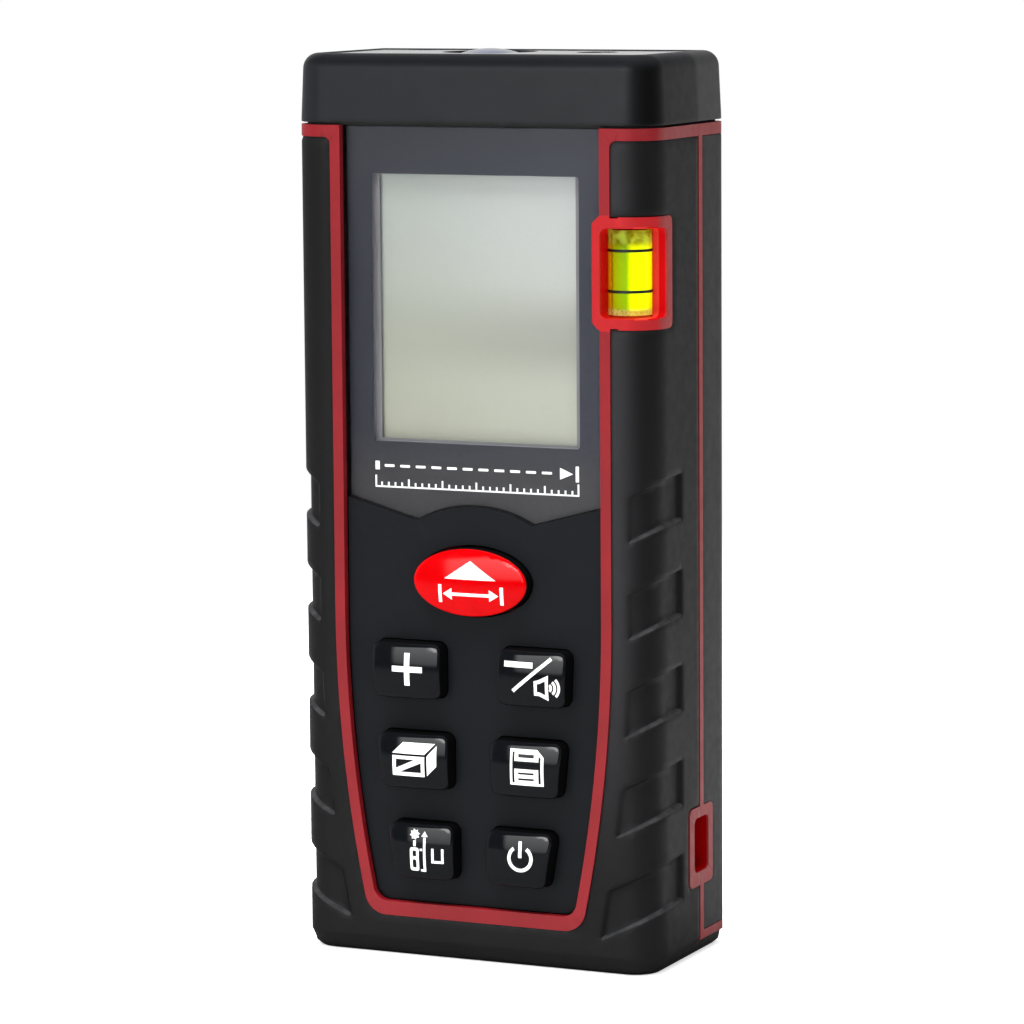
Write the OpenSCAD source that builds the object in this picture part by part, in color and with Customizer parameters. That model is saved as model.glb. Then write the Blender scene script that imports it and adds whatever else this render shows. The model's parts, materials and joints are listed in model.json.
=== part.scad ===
// Hand-held laser distance meter, as an assembly of its separate pieces.
// The flat lower end is the zero of every measurement, so the origin is the centre of that face.
// +Z is the way the beam leaves, the display faces -Y, and the strap slot is on the +X side.
// All sizes are in millimetres.

/* [Body] */
// Width across the rubber grips
body_w = 50; // [49.5:0.25:51]
// Depth from the front of the red trim to the back
body_d = 25; // [25:0.25:26]
// Height from the flat lower end to the rim of the head
body_h = 115.7; // [115.5:0.1:117]
// Radius of the two upright front corners
front_r = 4.5; // [4:0.25:5]
// Radius of the two upright rear corners
rear_r = 2.7; // [2.5:0.1:3.5]
// Radius of the edge around the flat lower end
foot_r = 1.2; // [1:0.1:1.5]
// How far the foot narrows above that edge
foot_draft = 0.45; // [0.3:0.05:0.6]
// Height of the crease where the foot starts to narrow
foot_crease = 2.2; // [2:0.1:2.6]
// Distance of the parting line behind the middle of the body
seam_y = 2.7; // [2.5:0.1:2.9]
// Thickness of the rubber grips
grip_t = 1.2; // [1.1:0.05:1.25]
// Thickness of the shell walls
wall_t = 1.3; // [1.2:0.05:1.35]
// Height of the rubber foot below the shells
foot_h = 1.93; // [1.8:0.05:2]

/* [Head cap] */
// Height of the head cap
cap_h = 8.7; // [8.5:0.1:9.5]
// Height of the dark gap between the head cap and the shells
cap_gap = 0.3; // [0.25:0.05:0.4]
// Radius of the upper edge of the head cap
cap_edge_r = 2; // [1.8:0.1:2.2]
// How far the head cap narrows on each side
cap_draft = 0.3; // [0.2:0.05:0.4]

/* [Red trim] */
// Half width over the trim strip around the front panel
strip_half = 19.3; // [19.2:0.1:19.5]
// Width of the trim strip
strip_w = 1.4; // [1.35:0.05:1.5]
// Height of the lower edge of the trim strip
strip_bottom = 5.25; // [5.1:0.05:5.4]
// Height at which the strip starts to curve inwards
taper_start = 45; // [44:0.5:46]
// Radius of the long curve on the outside of the strip
taper_r = 185; // [180:5:200]
// Height of the red band under the head cap
band_h = 1.5; // [1.4:0.1:1.6]
// Width of the red edge of the rear shell along the parting line
rear_edge_w = 1.2; // [1.1:0.1:1.4]

/* [Front panel] */
// Depth of the front panel below the trim
panel_drop = 1; // [0.9:0.05:1.1]
// Thickness of the keypad panel
panel_t = 1; // [0.95:0.05:1.05]
// Clearance around the front panel and its small keys
panel_gap = 0.15; // [0.05:0.05:0.2]
// Height of the window's lower edge at the sides
window_side_z = 59.1; // [59:0.1:59.3]
// Height of the two low points of the window's lower edge
window_dip_z = 56.6; // [56.5:0.1:56.8]
// Distance of the low points from the middle
window_dip_x = 8.1; // [8:0.1:8.3]
// Height of the top of the arch between the low points
window_arch_z = 58.65; // [58.5:0.05:58.8]
// Thickness of the clear window
window_t = 0.8; // [0.7:0.05:0.85]

/* [Display] */
// Width of the visible display
lcd_w = 27.1; // [26.8:0.1:27.4]
// Height of the visible display
lcd_h = 33.7; // [33.4:0.1:34]
// Height of the middle of the display
lcd_z = 83.65; // [83.5:0.05:83.8]
// Width of the opening in the printed mask
mask_w = 28.7; // [28.4:0.1:29]
// Height of the opening in the printed mask
mask_h = 34.1; // [34.1:0.1:34.4]

/* [Keys] */
// Travel of every key
key_travel = 0.6; // [0.4:0.05:0.6]
// Height of the small keys above the panel
key_rise = 2.8; // [2.4:0.1:2.9]
// Height of the measure key above the panel
measure_rise = 2.2; // [2:0.1:2.5]
// Height of one small key, from its lower to its upper edge
key_h = 7.15; // [7:0.05:7.3]
// Distance between the rows of small keys
key_pitch = 11.65; // [11.5:0.05:11.7]
// Height of the upper edge of the first row
key_top_z = 41.1; // [41:0.1:41.2]
// Width of the panel outside the keys
key_margin = 4.25; // [4.1:0.05:4.4]
// Width of the measure key
measure_w = 15.8; // [15.5:0.1:16]
// Height of the measure key
measure_h = 8.7; // [8.5:0.1:8.9]
// Height of the middle of the measure key
measure_z = 49.2; // [49.1:0.1:49.3]
// Clearance around the measure key
measure_gap = 0.25; // [0.15:0.05:0.35]

/* [Grip pockets] */
// Number of pockets down each side
pocket_count = 5; // [3:1:5]
// Distance between pockets
pocket_pitch = 12.2; // [12:0.1:12.3]
// Height of one pocket
pocket_h = 6.1; // [5.8:0.1:6.3]
// Depth of the pockets
pocket_depth = 0.6; // [0.5:0.05:0.7]
// Width of the rubber between the trim strip and the pockets
pocket_margin = 2; // [1.9:0.1:2.3]
// Height of the top of the first pocket, on the side of the body
pocket_top_z = 63.3; // [63:0.1:63.5]

/* [Spirit level] */
// Outer radius of the vial
vial_r = 2.74; // [2.6:0.02:2.78]
// Length of the vial
vial_len = 10.6; // [10.4:0.1:10.8]
// Height of the middle of the vial
vial_z = 88.8; // [88.7:0.05:88.9]

/* [Optics] */
// Radius of the receiver lens
lens_r = 6.5; // [6.3:0.1:6.6]
// Distance of the receiver lens from the middle, on the left
lens_x = 3.5; // [3.3:0.1:3.7]
// Distance of the laser from the middle, on the right
laser_x = 11.5; // [11.4:0.1:11.7]
// Radius of the laser's exit window
exit_r = 2.6; // [2.4:0.1:2.7]

/* [Power] */
// Radius of one battery
cell_r = 5.25; // [5.1:0.05:5.25]
// Length of one battery, with its button
cell_len = 44.5; // [44:0.1:44.5]

/* [Hidden] */
$fn = 64;

eps = 0.01;
far = 200;
half_w = body_w / 2;
half_d = body_d / 2;
inner = grip_t + wall_t;

// Heights of the shells and the head
shell_top = body_h - cap_h - cap_gap;
cap_z = body_h - cap_h;
band_z = shell_top - band_h;
rear_edge_z = foot_h + rear_edge_w;
cavity_z0 = rear_edge_z;
cavity_z1 = shell_top - 1.4;

// Depths of the layers behind the front panel, from the front to the back
panel_y = -half_d + panel_drop;
panel_back_y = panel_y + panel_t;
wall_back_y = panel_back_y + wall_t;
lcd_y = panel_y + 2.1;
lcd_t = 2;
board_y = panel_y + 5.9;
board_t = 1.2;
board_back_y = board_y + board_t;
part_gap = 0.05;

// Key details
flange_t = 0.6;
flange_w = 0.8;
key_corner = 1.1;
key_inner = [3.95, 2.95, 2.3];
key_crown = 0.45;
measure_crown = 0.7;
dome_rise = 0.32;
flange_y = wall_back_y + part_gap;
mat_t = 0.6;
pusher_rise = 0.45;
mat_y = flange_y + flange_t + key_travel + pusher_rise + 2 * part_gap;

// Rear end of the grip pockets
pocket_rear_y = -3;

// Screw places
case_x = 19.2;
case_z = [24, 100.5];
board_screw_places = [[-18.3, 60.5], [18.3, 60.5], [-13.5, 7.2], [13.5, 7.2]];
frame_screw_places = [[-13.6, 71], [-13.6, 100], [14.2, 71]];

// Spirit level place, on the right front corner
vial_x = half_w - 4.7;
vial_y = -half_d + 4.1;
vial_frame_x = 16.9;
vial_frame_y = -6.05;
vial_wall_x = 17.95;
vial_frame_z = [81.8, 95.8];
frame_chamfer = 0.8;
frame_r = 0.9;
vial_low = vial_z - vial_len / 2;
vial_high = vial_z + vial_len / 2;
vial_bore = vial_r - 0.4;
bubble_r = 1.3;
bubble_z = vial_high - 1.35;

// Strap slot on the right side
slot_z = [11, 18.1];
slot_y = [0.8, 5.5];
slot_depth = 6.4;
bar_r = 1;
bar_x = half_w - 3.5;

// Optics
optic_y = 2;
frame_y0 = board_back_y + 0.5;
frame_z = [66, 104.4];
plate_z = body_h - 0.1;
plate_t = 0.9;

// Battery compartment
cell_x = 5.6;
cell_y = half_d - inner - cell_r + 0.15;
bay_half = cell_x + cell_r + 0.35;
bay_z0 = 8;
spring_h = 2.4;
contact_t = 0.3;
bay_z1 = bay_z0 + cell_len + spring_h + 2 * contact_t;
bay_wall = 1;
bay_floor_y = cell_y - cell_r - 0.35;
cell_low = [bay_z0 + contact_t + spring_h, bay_z0 + contact_t];
door_half = 13.4;
door_z0 = 6.2;
door_z1 = bay_z1 + 1.9;
door_y = half_d - grip_t + part_gap;
hinge_r = (half_d - door_y) / 2;

// ---------- Outlines ----------

function unit(v) = v / norm(v);

// The arc that rounds corner p between its neighbours a and b
function corner_arc(a, p, b, r, n) =
    let (
        u = unit(a - p),
        v = unit(b - p),
        half = acos(u * v) / 2,
        c = p + unit(u + v) * r / sin(half),
        s = p + u * r / tan(half) - c,
        e = p + v * r / tan(half) - c,
        a0 = atan2(s.y, s.x),
        turn = atan2(cross(s, e), s * e)
    )
    [for (i = [0:n]) c + r * [cos(a0 + turn * i / n), sin(a0 + turn * i / n)]];

// A polygon with every corner rounded to radius r
function rounded(pts, r, n = 6) =
    let (last = len(pts))
    [for (i = [0:last - 1])
        each corner_arc(pts[(i + last - 1) % last], pts[i], pts[(i + 1) % last], r, n)];

function box_points(x0, x1, z0, z1) = [[x0, z0], [x1, z0], [x1, z1], [x0, z1]];

function ellipse_points(a, b, n = 72) =
    [for (i = [0:n - 1]) [a * cos(360 * i / n), b * sin(360 * i / n)]];

function mirrored(pts) = [for (i = [len(pts) - 1:-1:0]) [-pts[i].x, pts[i].y]];

// Half width of the trim at height z, for a line that is half wide at the top
function taper_half(half, z) =
    let (r = taper_r - strip_half + half)
    z >= taper_start ? half : half - r + sqrt(r * r - pow(taper_start - z, 2));

// Outline of the front panel or its trim: straight sides, long curves and a rounded lower end
function taper_outline(half, bottom, corner, top, n = 16) =
    let (
        r = taper_r - strip_half + half,
        cx = half - r,
        cz = bottom + corner,
        kx = cx + sqrt(pow(r - corner, 2) - pow(taper_start - cz, 2)),
        meet = atan2(cz - taper_start, kx - cx),
        side = [
            [half, top],
            for (i = [0:n]) [cx, taper_start] + r * [cos(meet * i / n), sin(meet * i / n)],
            for (i = [1:8]) let (a = meet - (90 + meet) * i / 8)
                [kx, cz] + corner * [cos(a), sin(a)]
        ]
    )
    concat(side, mirrored(side));

// Everything above the window's lower edge: two slopes with an arch between them
function window_region(drop) =
    let (
        rise = window_arch_z - window_dip_z,
        r = (pow(window_dip_x, 2) + rise * rise) / (2 * rise),
        sweep = asin(window_dip_x / r),
        slope = (window_side_z - window_dip_z) / (strip_half - 2 - window_dip_x),
        edge_z = window_dip_z + slope * (half_w - window_dip_x)
    )
    concat(
        [[half_w, far], [-half_w, far], [-half_w, edge_z - drop]],
        [for (i = [0:16]) let (a = sweep * (i / 8 - 1))
            [r * sin(a), window_arch_z - r + r * cos(a) - drop]],
        [[half_w, edge_z - drop]]
    );

// ---------- Building blocks ----------

module block(x0, x1, y0, y1, z0, z1) {
    translate([x0, y0, z0]) cube([x1 - x0, y1 - y0, z1 - z0]);
}

// An outline in X and Y, raised between two heights
module upright(z0, z1) {
    translate([0, 0, z0]) linear_extrude(z1 - z0) children();
}

// An outline in X and Z, as seen from the front, between two depths
module facing(y0, y1) {
    translate([0, y1, 0]) rotate([90, 0, 0]) linear_extrude(y1 - y0) children();
}

// An outline in Y and Z, as seen from the right, between two widths
module sideways(x0, x1) {
    translate([x0, 0, 0]) rotate([90, 0, 90]) linear_extrude(x1 - x0) children();
}

// A round bar along Y
module bar_y(x, z, r, y0, y1) {
    translate([x, y1, z]) rotate([90, 0, 0]) cylinder(r = r, h = y1 - y0);
}

// A round bar along Z
module bar_z(x, y, r, z0, z1) {
    translate([x, y, z0]) cylinder(r = r, h = z1 - z0);
}

// Cross-section of the body, moved inwards by inset
module plan(inset = 0) {
    w = half_w - inset;
    d = half_d - inset;
    fr = max(front_r - inset, 0.4);
    rr = max(rear_r - inset, 0.4);
    translate([-w + fr, -d]) square([2 * (w - fr), d]);
    translate([-w, -d + fr]) square([2 * w, d - fr]);
    translate([-w + rr, -eps]) square([2 * (w - rr), d + eps]);
    translate([-w, -eps]) square([2 * w, d - rr + eps]);
    for (s = [-1, 1]) {
        translate([s * (w - fr), -d + fr]) circle(fr);
        translate([s * (w - rr), d - rr]) circle(rr);
    }
}

module body_prism(inset, z0, z1) {
    upright(z0, z1) plan(inset);
}

// The outer skin of the body, with the rounded edge around the lower end
module body_skin(z1) {
    intersection() {
        body_prism(0, 0, z1);
        facing(-far, far) polygon(foot_profile(half_w, z1));
        sideways(-far, far) polygon(foot_profile(half_d, z1));
    }
}

function foot_profile(half, top) =
    let (side = [
        [half, top],
        [half, foot_crease],
        for (i = [0:8]) [half - foot_draft - foot_r, foot_r]
            + foot_r * [cos(90 * i / 8), -sin(90 * i / 8)]
    ])
    concat(side, mirrored(side));

// The front panel's opening in the trim, with the notch that clears the spirit level
module panel_area(gap = 0, top = shell_top - 0.1) {
    difference() {
        polygon(taper_outline(strip_half - strip_w - gap, strip_bottom + 1.85 + gap,
            2 - gap, top));
        polygon(notch_points(-gap, half_w));
    }
}

// Outline of the spirit level's frame, moved inwards by inset, with two corners cut off
function notch_points(inset, right) =
    let (
        x = vial_frame_x + inset,
        z0 = vial_frame_z[0] + inset,
        z1 = vial_frame_z[1] - inset
    )
    [
        [x, z0 + frame_chamfer], [x + frame_chamfer, z0], [right, z0],
        [right, z1], [x + frame_chamfer, z1], [x, z1 - frame_chamfer]
    ];

// ---------- Red trim that stands flush with the rubber ----------

module vial_frame_area() {
    facing(-far, -half_d + 2.2) polygon(notch_points(0.15, far));
    sideways(half_w - 4.6, far) polygon(
        rounded(box_points(-far, vial_frame_y, vial_frame_z[0], vial_frame_z[1]), frame_r));
}

module slot_frame_area() {
    sideways(half_w - 3, far) polygon(rounded(box_points(slot_y[0] - 1.5, slot_y[1] + 1.5,
        slot_z[0] - 1.8, slot_z[1] + 1.4), 0.9));
}

module front_trim_area() {
    facing(-far, -half_d + 4)
        polygon(taper_outline(strip_half, strip_bottom, 3, far));
    for (s = [-1, 1])
        facing(-far, -half_d + 1) difference() {
            translate([s * (strip_half + frame_r / 2), band_z - frame_r / 2])
                square(frame_r + 2 * eps, center = true);
            translate([s * (strip_half + frame_r), band_z - frame_r]) circle(frame_r);
        }
    block(-far, far, -far, far, band_z, far);
    vial_frame_area();
    slot_frame_area();
}

module rear_trim_area() {
    block(-far, far, -far, seam_y + rear_edge_w, 0, far);
    block(-far, far, -far, far, 0, rear_edge_z);
    block(-far, far, -far, far, band_z, far);
    slot_frame_area();
}

module front_side() {
    block(-far, far, -far, seam_y, -1, far);
}

module rear_side() {
    block(-far, far, seam_y + part_gap, far, -1, far);
}

// ---------- Openings ----------

module vial_pocket() {
    z0 = vial_z - vial_len / 2 - 0.3;
    z1 = vial_z + vial_len / 2 + 0.3;
    bar_z(vial_x, vial_y, vial_r + 0.1, z0, z1);
    intersection() {
        facing(-far, far) polygon(rounded(box_points(vial_wall_x, far, z0, z1), frame_r));
        sideways(0, far) polygon(rounded(box_points(-far, vial_y + 0.9, z0, z1), frame_r));
    }
}

module strap_pocket() {
    sideways(half_w - slot_depth, far) polygon(
        rounded(box_points(slot_y[0], slot_y[1], slot_z[0], slot_z[1]), 0.9));
}

// Sunken pockets on the right side, whose edges fall towards the front and the middle
module grip_pockets() {
    slope = 0.458;
    tilt = 3.8;
    for (i = [0:pocket_count - 1]) {
        top = pocket_top_z - pocket_pitch * i;
        high = taper_half(strip_half, top - 2) + pocket_margin;
        low = taper_half(strip_half, top - pocket_h - 2) + pocket_margin;
        intersection() {
            translate([0, pocket_rear_y, top]) rotate([tilt, 0, 0]) facing(-far, 0) polygon([
                [high, slope * (high - half_w)],
                [half_w + 1, slope],
                [half_w + 1, slope - pocket_h],
                [low, slope * (low - half_w) - pocket_h]
            ]);
            difference() {
                body_prism(-2, 0, far);
                body_prism(pocket_depth, -1, far + 1);
            }
        }
    }
}

module case_screw_places() {
    for (s = [-1, 1], z = case_z) translate([s * case_x, 0, z]) children();
}

// ---------- Shells and grips ----------

module shell_cavity() {
    upright(cavity_z0, cavity_z1) intersection() {
        plan(inner);
        translate([-far, wall_back_y]) square([2 * far, far]);
    }
}

// Opening in the roof of the shells that lets the optics reach the head cap
module roof_opening() {
    block(-18.5, 18.5, wall_back_y + 0.2, half_d - 2.9, cavity_z1 - 1, shell_top + 1);
}

module front_shell() {
    color("firebrick") difference() {
        union() {
            difference() {
                intersection() {
                    union() {
                        body_prism(grip_t, foot_h, shell_top);
                        intersection() {
                            body_skin(shell_top);
                            front_trim_area();
                        }
                    }
                    block(-far, far, -far, seam_y, foot_h, far);
                }
                shell_cavity();
                roof_opening();
            }
            intersection() {
                boss_blocks();
                body_prism(grip_t, foot_h, shell_top);
                front_side();
            }
            front_bosses();
        }
        facing(-far, panel_back_y) panel_area(0, far);
        vial_pocket();
        strap_pocket();
        facing(-far, 0) polygon(box_points(-16.45, 16.45, lcd_z - 20, lcd_z + 20.9));
        facing(-far, 0) for (k = [0:6]) key_outline(k, key_gap(k));
        case_screw_places() bar_y(0, 0, 1, -5.5, far);
        for (p = board_screw_places) bar_y(p.x, p.y, 0.85, wall_back_y - 0.5, 0);
        bar_y(bar_x, (slot_z[0] + slot_z[1]) / 2, bar_r + part_gap, slot_y[0] - 0.9, far);
    }
}

// Solid backing behind the spirit level and around the strap slot
module boss_blocks() {
    block(vial_frame_x - 0.9, half_w, -half_d, vial_y + 3.8, vial_frame_z[0], vial_frame_z[1]);
    block(half_w - slot_depth - 1.3, half_w, slot_y[0] - 1.5, slot_y[1] + 1.5,
        slot_z[0] - 1.8, slot_z[1] + 1.4);
}

module front_bosses() {
    case_screw_places() bar_y(0, 0, 2.6, wall_back_y - eps, seam_y);
    for (p = board_screw_places) bar_y(p.x, p.y, 1.9, wall_back_y - eps, board_y - part_gap);
}

module front_grip() {
    color([0.15, 0.15, 0.16]) difference() {
        body_skin(band_z);
        body_prism(grip_t, foot_h, far);
        difference() {
            front_trim_area();
            block(-far, far, -far, far, -1, foot_h);
        }
        block(-far, far, seam_y, far, foot_h, far);
        grip_pockets();
        mirror([1, 0, 0]) grip_pockets();
    }
}

module rear_shell() {
    color("firebrick") difference() {
        union() {
            difference() {
                intersection() {
                    union() {
                        body_prism(grip_t, foot_h, shell_top);
                        intersection() {
                            body_skin(shell_top);
                            rear_trim_area();
                        }
                    }
                    block(-far, far, seam_y + part_gap, far, foot_h, far);
                }
                shell_cavity();
                roof_opening();
            }
            battery_bay();
            intersection() {
                union() {
                    boss_blocks();
                    case_screw_places() bar_y(0, 0, 3.2, 0, half_d);
                }
                body_prism(grip_t, foot_h, shell_top);
                rear_side();
            }
        }
        battery_space();
        difference() {
            strap_pocket();
            strap_bar(-far);
        }
        case_screw_places() {
            bar_y(0, 0, 1.15, -1, far);
            bar_y(0, 0, 2.3, half_d - 5.5, far);
        }
    }
    strap_bar_piece();
}

module strap_bar(y0) {
    bar_y(bar_x, (slot_z[0] + slot_z[1]) / 2, bar_r, y0, slot_y[1] + 0.6);
}

// The strap bar is moulded with the rear shell and its free end sits in the front shell
module strap_bar_piece() {
    color("firebrick") strap_bar(slot_y[0] - 0.8);
}

module battery_bay() {
    block(-bay_half - bay_wall, bay_half + bay_wall, bay_floor_y - bay_wall,
        half_d - grip_t, bay_z0 - bay_wall, bay_z1 + bay_wall);
}

module battery_space() {
    block(-bay_half, bay_half, bay_floor_y, far, bay_z0, bay_z1);
    for (s = [-1, 1])
        block(s * 10.5 - 0.8, s * 10.5 + 0.8, 8.2, half_d - inner, bay_z0 - 0.9, bay_z0 + 1);
    for (s = [-1, 1])
        block(s * cell_x - 1.1, s * cell_x + 1.1, 2.75, 3.25, bay_z1 - 1, bay_z1 + 2);
}

module rear_grip() {
    color([0.24, 0.24, 0.25]) difference() {
        intersection() {
            body_prism(0, rear_edge_z, band_z);
            rear_side();
        }
        body_prism(grip_t, 0, far);
        rear_trim_area();
        facing(0, far) door_outline(0.15);
        facing(half_d - 0.2, far) polygon(rounded(box_points(-16.6, 16.6, 62.9, 93.1), 1.6));
        case_screw_places() bar_y(0, 0, 2.3, 0, far);
    }
}

// ---------- Head ----------

// Silhouette of the head cap: slight taper and a rounded upper edge
function cap_profile(half) =
    let (
        edge = half - cap_draft,
        side = [
            [half, cap_z],
            for (i = [0:8]) [edge - cap_edge_r, body_h - cap_edge_r]
                + cap_edge_r * [cos(90 * i / 8), sin(90 * i / 8)]
        ]
    )
    concat(side, mirrored(side));

module head_cap() {
    color([0.22, 0.22, 0.23]) difference() {
        union() {
            intersection() {
                body_prism(0, cap_z, body_h);
                facing(-far, far) polygon(cap_profile(half_w));
                sideways(-far, far) polygon(cap_profile(half_d));
            }
            for (s = [-1, 1])
                translate([s * 17.8, 0, 0]) block(-0.6, 0.6, -4, 4, cap_z - 3.2, cap_z + eps);
        }
        difference() {
            body_prism(1.8, cap_z - eps, body_h - 2.4);
            for (s = [-1, 1])
                translate([s * 17.8, 0, 0]) block(-0.6, 0.6, -4, 4, 0, far);
        }
        upright(plate_z - plate_t - part_gap, far)
            polygon(rounded(box_points(-22.2, 22.2, -9.8, 9.8), 2.6));
        bar_z(-lens_x, optic_y, lens_r + 0.9, cap_z, far);
        bar_z(laser_x, optic_y, exit_r + 2, cap_z, far);
    }
}

// Foam ring that keeps dust out between the head cap and the shells
module cap_seal() {
    color("black") difference() {
        body_prism(0.8, shell_top + 0.02, cap_z - 0.02);
        body_prism(1.75, 0, far);
    }
}

module optic_window() {
    color([0.05, 0.05, 0.07]) difference() {
        upright(plate_z - plate_t, plate_z)
            polygon(rounded(box_points(-22.05, 22.05, -9.65, 9.65), 2.45));
        bar_z(-lens_x, optic_y, lens_r - 0.3, 0, far);
        bar_z(laser_x, optic_y, exit_r + 0.1, 0, far);
    }
}

// Plano-convex lens whose crown stands a little above the optic window
module receiver_lens() {
    crown_z = body_h + 0.35;
    edge_z = plate_z - plate_t - 0.3;
    rise = crown_z - edge_z;
    ball_r = (pow(lens_r - 0.5, 2) + rise * rise) / (2 * rise);
    color("lightsteelblue", 0.6) union() {
        intersection() {
            translate([-lens_x, optic_y, crown_z - ball_r]) sphere(ball_r);
            bar_z(-lens_x, optic_y, lens_r - 0.5, edge_z - 0.5, far);
        }
        bar_z(-lens_x, optic_y, lens_r, edge_z - 2, edge_z);
    }
}

module laser_window() {
    color("lightsteelblue", 0.6) bar_z(laser_x, optic_y, exit_r, plate_z - 1.2, plate_z - 0.1);
}

// ---------- Display ----------

module display_window() {
    color([0.6, 0.65, 0.7], 0.4) facing(panel_y, panel_y + window_t) intersection() {
        panel_area(panel_gap);
        polygon(window_region(-0.1));
    }
}

// Printed mask on the back of the window
module window_mask() {
    y0 = panel_y + window_t + 0.02;
    color([0.28, 0.29, 0.33]) facing(y0, y0 + 0.12) difference() {
        intersection() {
            panel_area(panel_gap + 0.1);
            polygon(window_region(-0.2));
        }
        polygon(rounded(box_points(-mask_w / 2, mask_w / 2,
            lcd_z - 17.15, lcd_z - 17.15 + mask_h), 0.4));
    }
}

module lcd_glass() {
    color([0.78, 0.8, 0.76]) facing(lcd_y, lcd_y + lcd_t)
        polygon(box_points(-15.1, 15.1, lcd_z - 18.65, lcd_z + 19.65));
}

module lcd_holder() {
    front = panel_back_y + 0.1;
    color([0.55, 0.55, 0.6]) difference() {
        facing(front, board_y - part_gap)
            polygon(box_points(-16.3, 16.3, lcd_z - 19.85, lcd_z + 20.75));
        facing(lcd_y - part_gap, far)
            polygon(box_points(-15.2, 15.2, lcd_z - 18.75, lcd_z + 19.75));
        facing(-far, far) polygon(box_points(-lcd_w / 2, lcd_w / 2,
            lcd_z - lcd_h / 2, lcd_z + lcd_h / 2));
        facing(-far, front + 0.5) polygon(box_points(-mask_w / 2 - 0.1, mask_w / 2 + 0.1,
            lcd_z - mask_h / 2 - 0.1, lcd_z + mask_h / 2 + 0.1));
    }
}

module backlight() {
    y0 = lcd_y + lcd_t + part_gap;
    color("white") facing(y0, y0 + 1)
        polygon(box_points(-15.1, 15.1, lcd_z - 17, lcd_z + 19.65));
}

// Conductive rubber strip that joins the display to the main board
module zebra_strip() {
    color("orange") facing(lcd_y + lcd_t + part_gap, board_y - part_gap)
        polygon(box_points(-13, 13, lcd_z - 18.6, lcd_z - 17.35));
}

// ---------- Keys ----------

// Outer edge of a small key, which follows the taper of the panel
function key_outer(z) = taper_half(strip_half - strip_w, z) - key_margin;

function key_points(row, grow) =
    let (top = key_top_z - key_pitch * row, low = top - key_h)
    [
        [key_inner[row] - grow, low - grow],
        [key_outer(low) + grow, low - grow],
        [key_outer(top) + grow, top + grow],
        [key_inner[row] - grow, top + grow]
    ];

// Key 0 is the measure key, then the small keys in pairs from the top, left before right
module key_outline(k, grow) {
    if (k == 0)
        translate([0, measure_z])
            polygon(ellipse_points(measure_w / 2 + grow, measure_h / 2 + grow));
    else
        mirror([k % 2, 0])
            polygon(rounded(key_points(floor((k - 1) / 2), grow), key_corner + grow));
}

function key_gap(k) = k == 0 ? measure_gap : panel_gap;

function key_middle(k) =
    k == 0 ? [0, measure_z] :
    let (row = floor((k - 1) / 2), z = key_top_z - key_h / 2 - key_pitch * row)
    [(k % 2 == 1 ? -1 : 1) * (key_inner[row] + key_outer(z)) / 2, z];

// One key: a domed cap with a stepped edge, and a flange that keeps it behind the shell
module key(k, rise, crown) {
    rim_y = panel_y - rise + crown;
    facing(flange_y, flange_y + flange_t) key_outline(k, flange_w);
    for (step = [0:2])
        facing(rim_y - crown * step / 2, flange_y + eps) key_outline(k, -0.4 * step);
}

module measure_key() {
    color([0.85, 0.02, 0.04]) key(0, measure_rise, measure_crown);
}

module plus_key() {
    color([0.1, 0.1, 0.11]) key(1, key_rise, key_crown);
}

module minus_key() {
    color([0.1, 0.1, 0.11]) key(2, key_rise, key_crown);
}

module area_key() {
    color([0.1, 0.1, 0.11]) key(3, key_rise, key_crown);
}

module memory_key() {
    color([0.1, 0.1, 0.11]) key(4, key_rise, key_crown);
}

module reference_key() {
    color([0.1, 0.1, 0.11]) key(5, key_rise, key_crown);
}

module clear_key() {
    color([0.1, 0.1, 0.11]) key(6, key_rise, key_crown);
}

module keypad_panel() {
    color([0.13, 0.14, 0.15]) facing(panel_y, panel_back_y) difference() {
        panel_area(panel_gap);
        polygon(window_region(0));
        for (k = [0:6]) key_outline(k, key_gap(k));
    }
}

// Silicone sheet with a pusher in front of every snap dome
module key_mat() {
    color("dimgray") union() {
        facing(mat_y, mat_y + mat_t) polygon(rounded(box_points(-15.2, 15.2, 9.5, 54.5), 2));
        for (k = [0:6]) {
            p = key_middle(k);
            bar_y(p.x, p.y, 1.6, mat_y - pusher_rise, mat_y + eps);
            bar_y(p.x, p.y, 1.2, mat_y, board_y - dome_rise - 0.13);
        }
    }
}

module snap_domes() {
    foot = 2.4;
    steel = 0.1;
    outer_r = (foot * foot + dome_rise * dome_rise) / (2 * dome_rise);
    edge = asin(foot / outer_r);
    color("silver") for (k = [0:6]) {
        p = key_middle(k);
        translate([p.x, board_y - 0.02, p.y]) rotate([90, 0, 0]) rotate_extrude() polygon([
            for (i = [0:6]) let (a = edge * i / 6)
                [outer_r * sin(a), outer_r * cos(a) - outer_r + dome_rise],
            for (i = [6:-1:0]) let (a = edge * i / 6)
                [(foot - steel) * sin(a) / sin(edge),
                    outer_r * (cos(a) - 1) + dome_rise - steel * (1 - i / 6)]
        ]);
    }
}

// ---------- Electronics ----------

module main_board() {
    color("darkgreen") difference() {
        facing(board_y, board_back_y)
            polygon(rounded(box_points(-20.5, 20.5, 5, frame_z[1] - 0.2), 1));
        block(vial_frame_x - 1.1, far, -far, far, vial_frame_z[0] - 0.4, vial_frame_z[1] + 0.4);
        case_screw_places() bar_y(0, 0, 2.8, -far, far);
        for (p = board_screw_places) bar_y(p.x, p.y, 0.95, -far, far);
        for (p = frame_screw_places) bar_y(p.x, p.y, 0.95, -far, far);
    }
}

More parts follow.
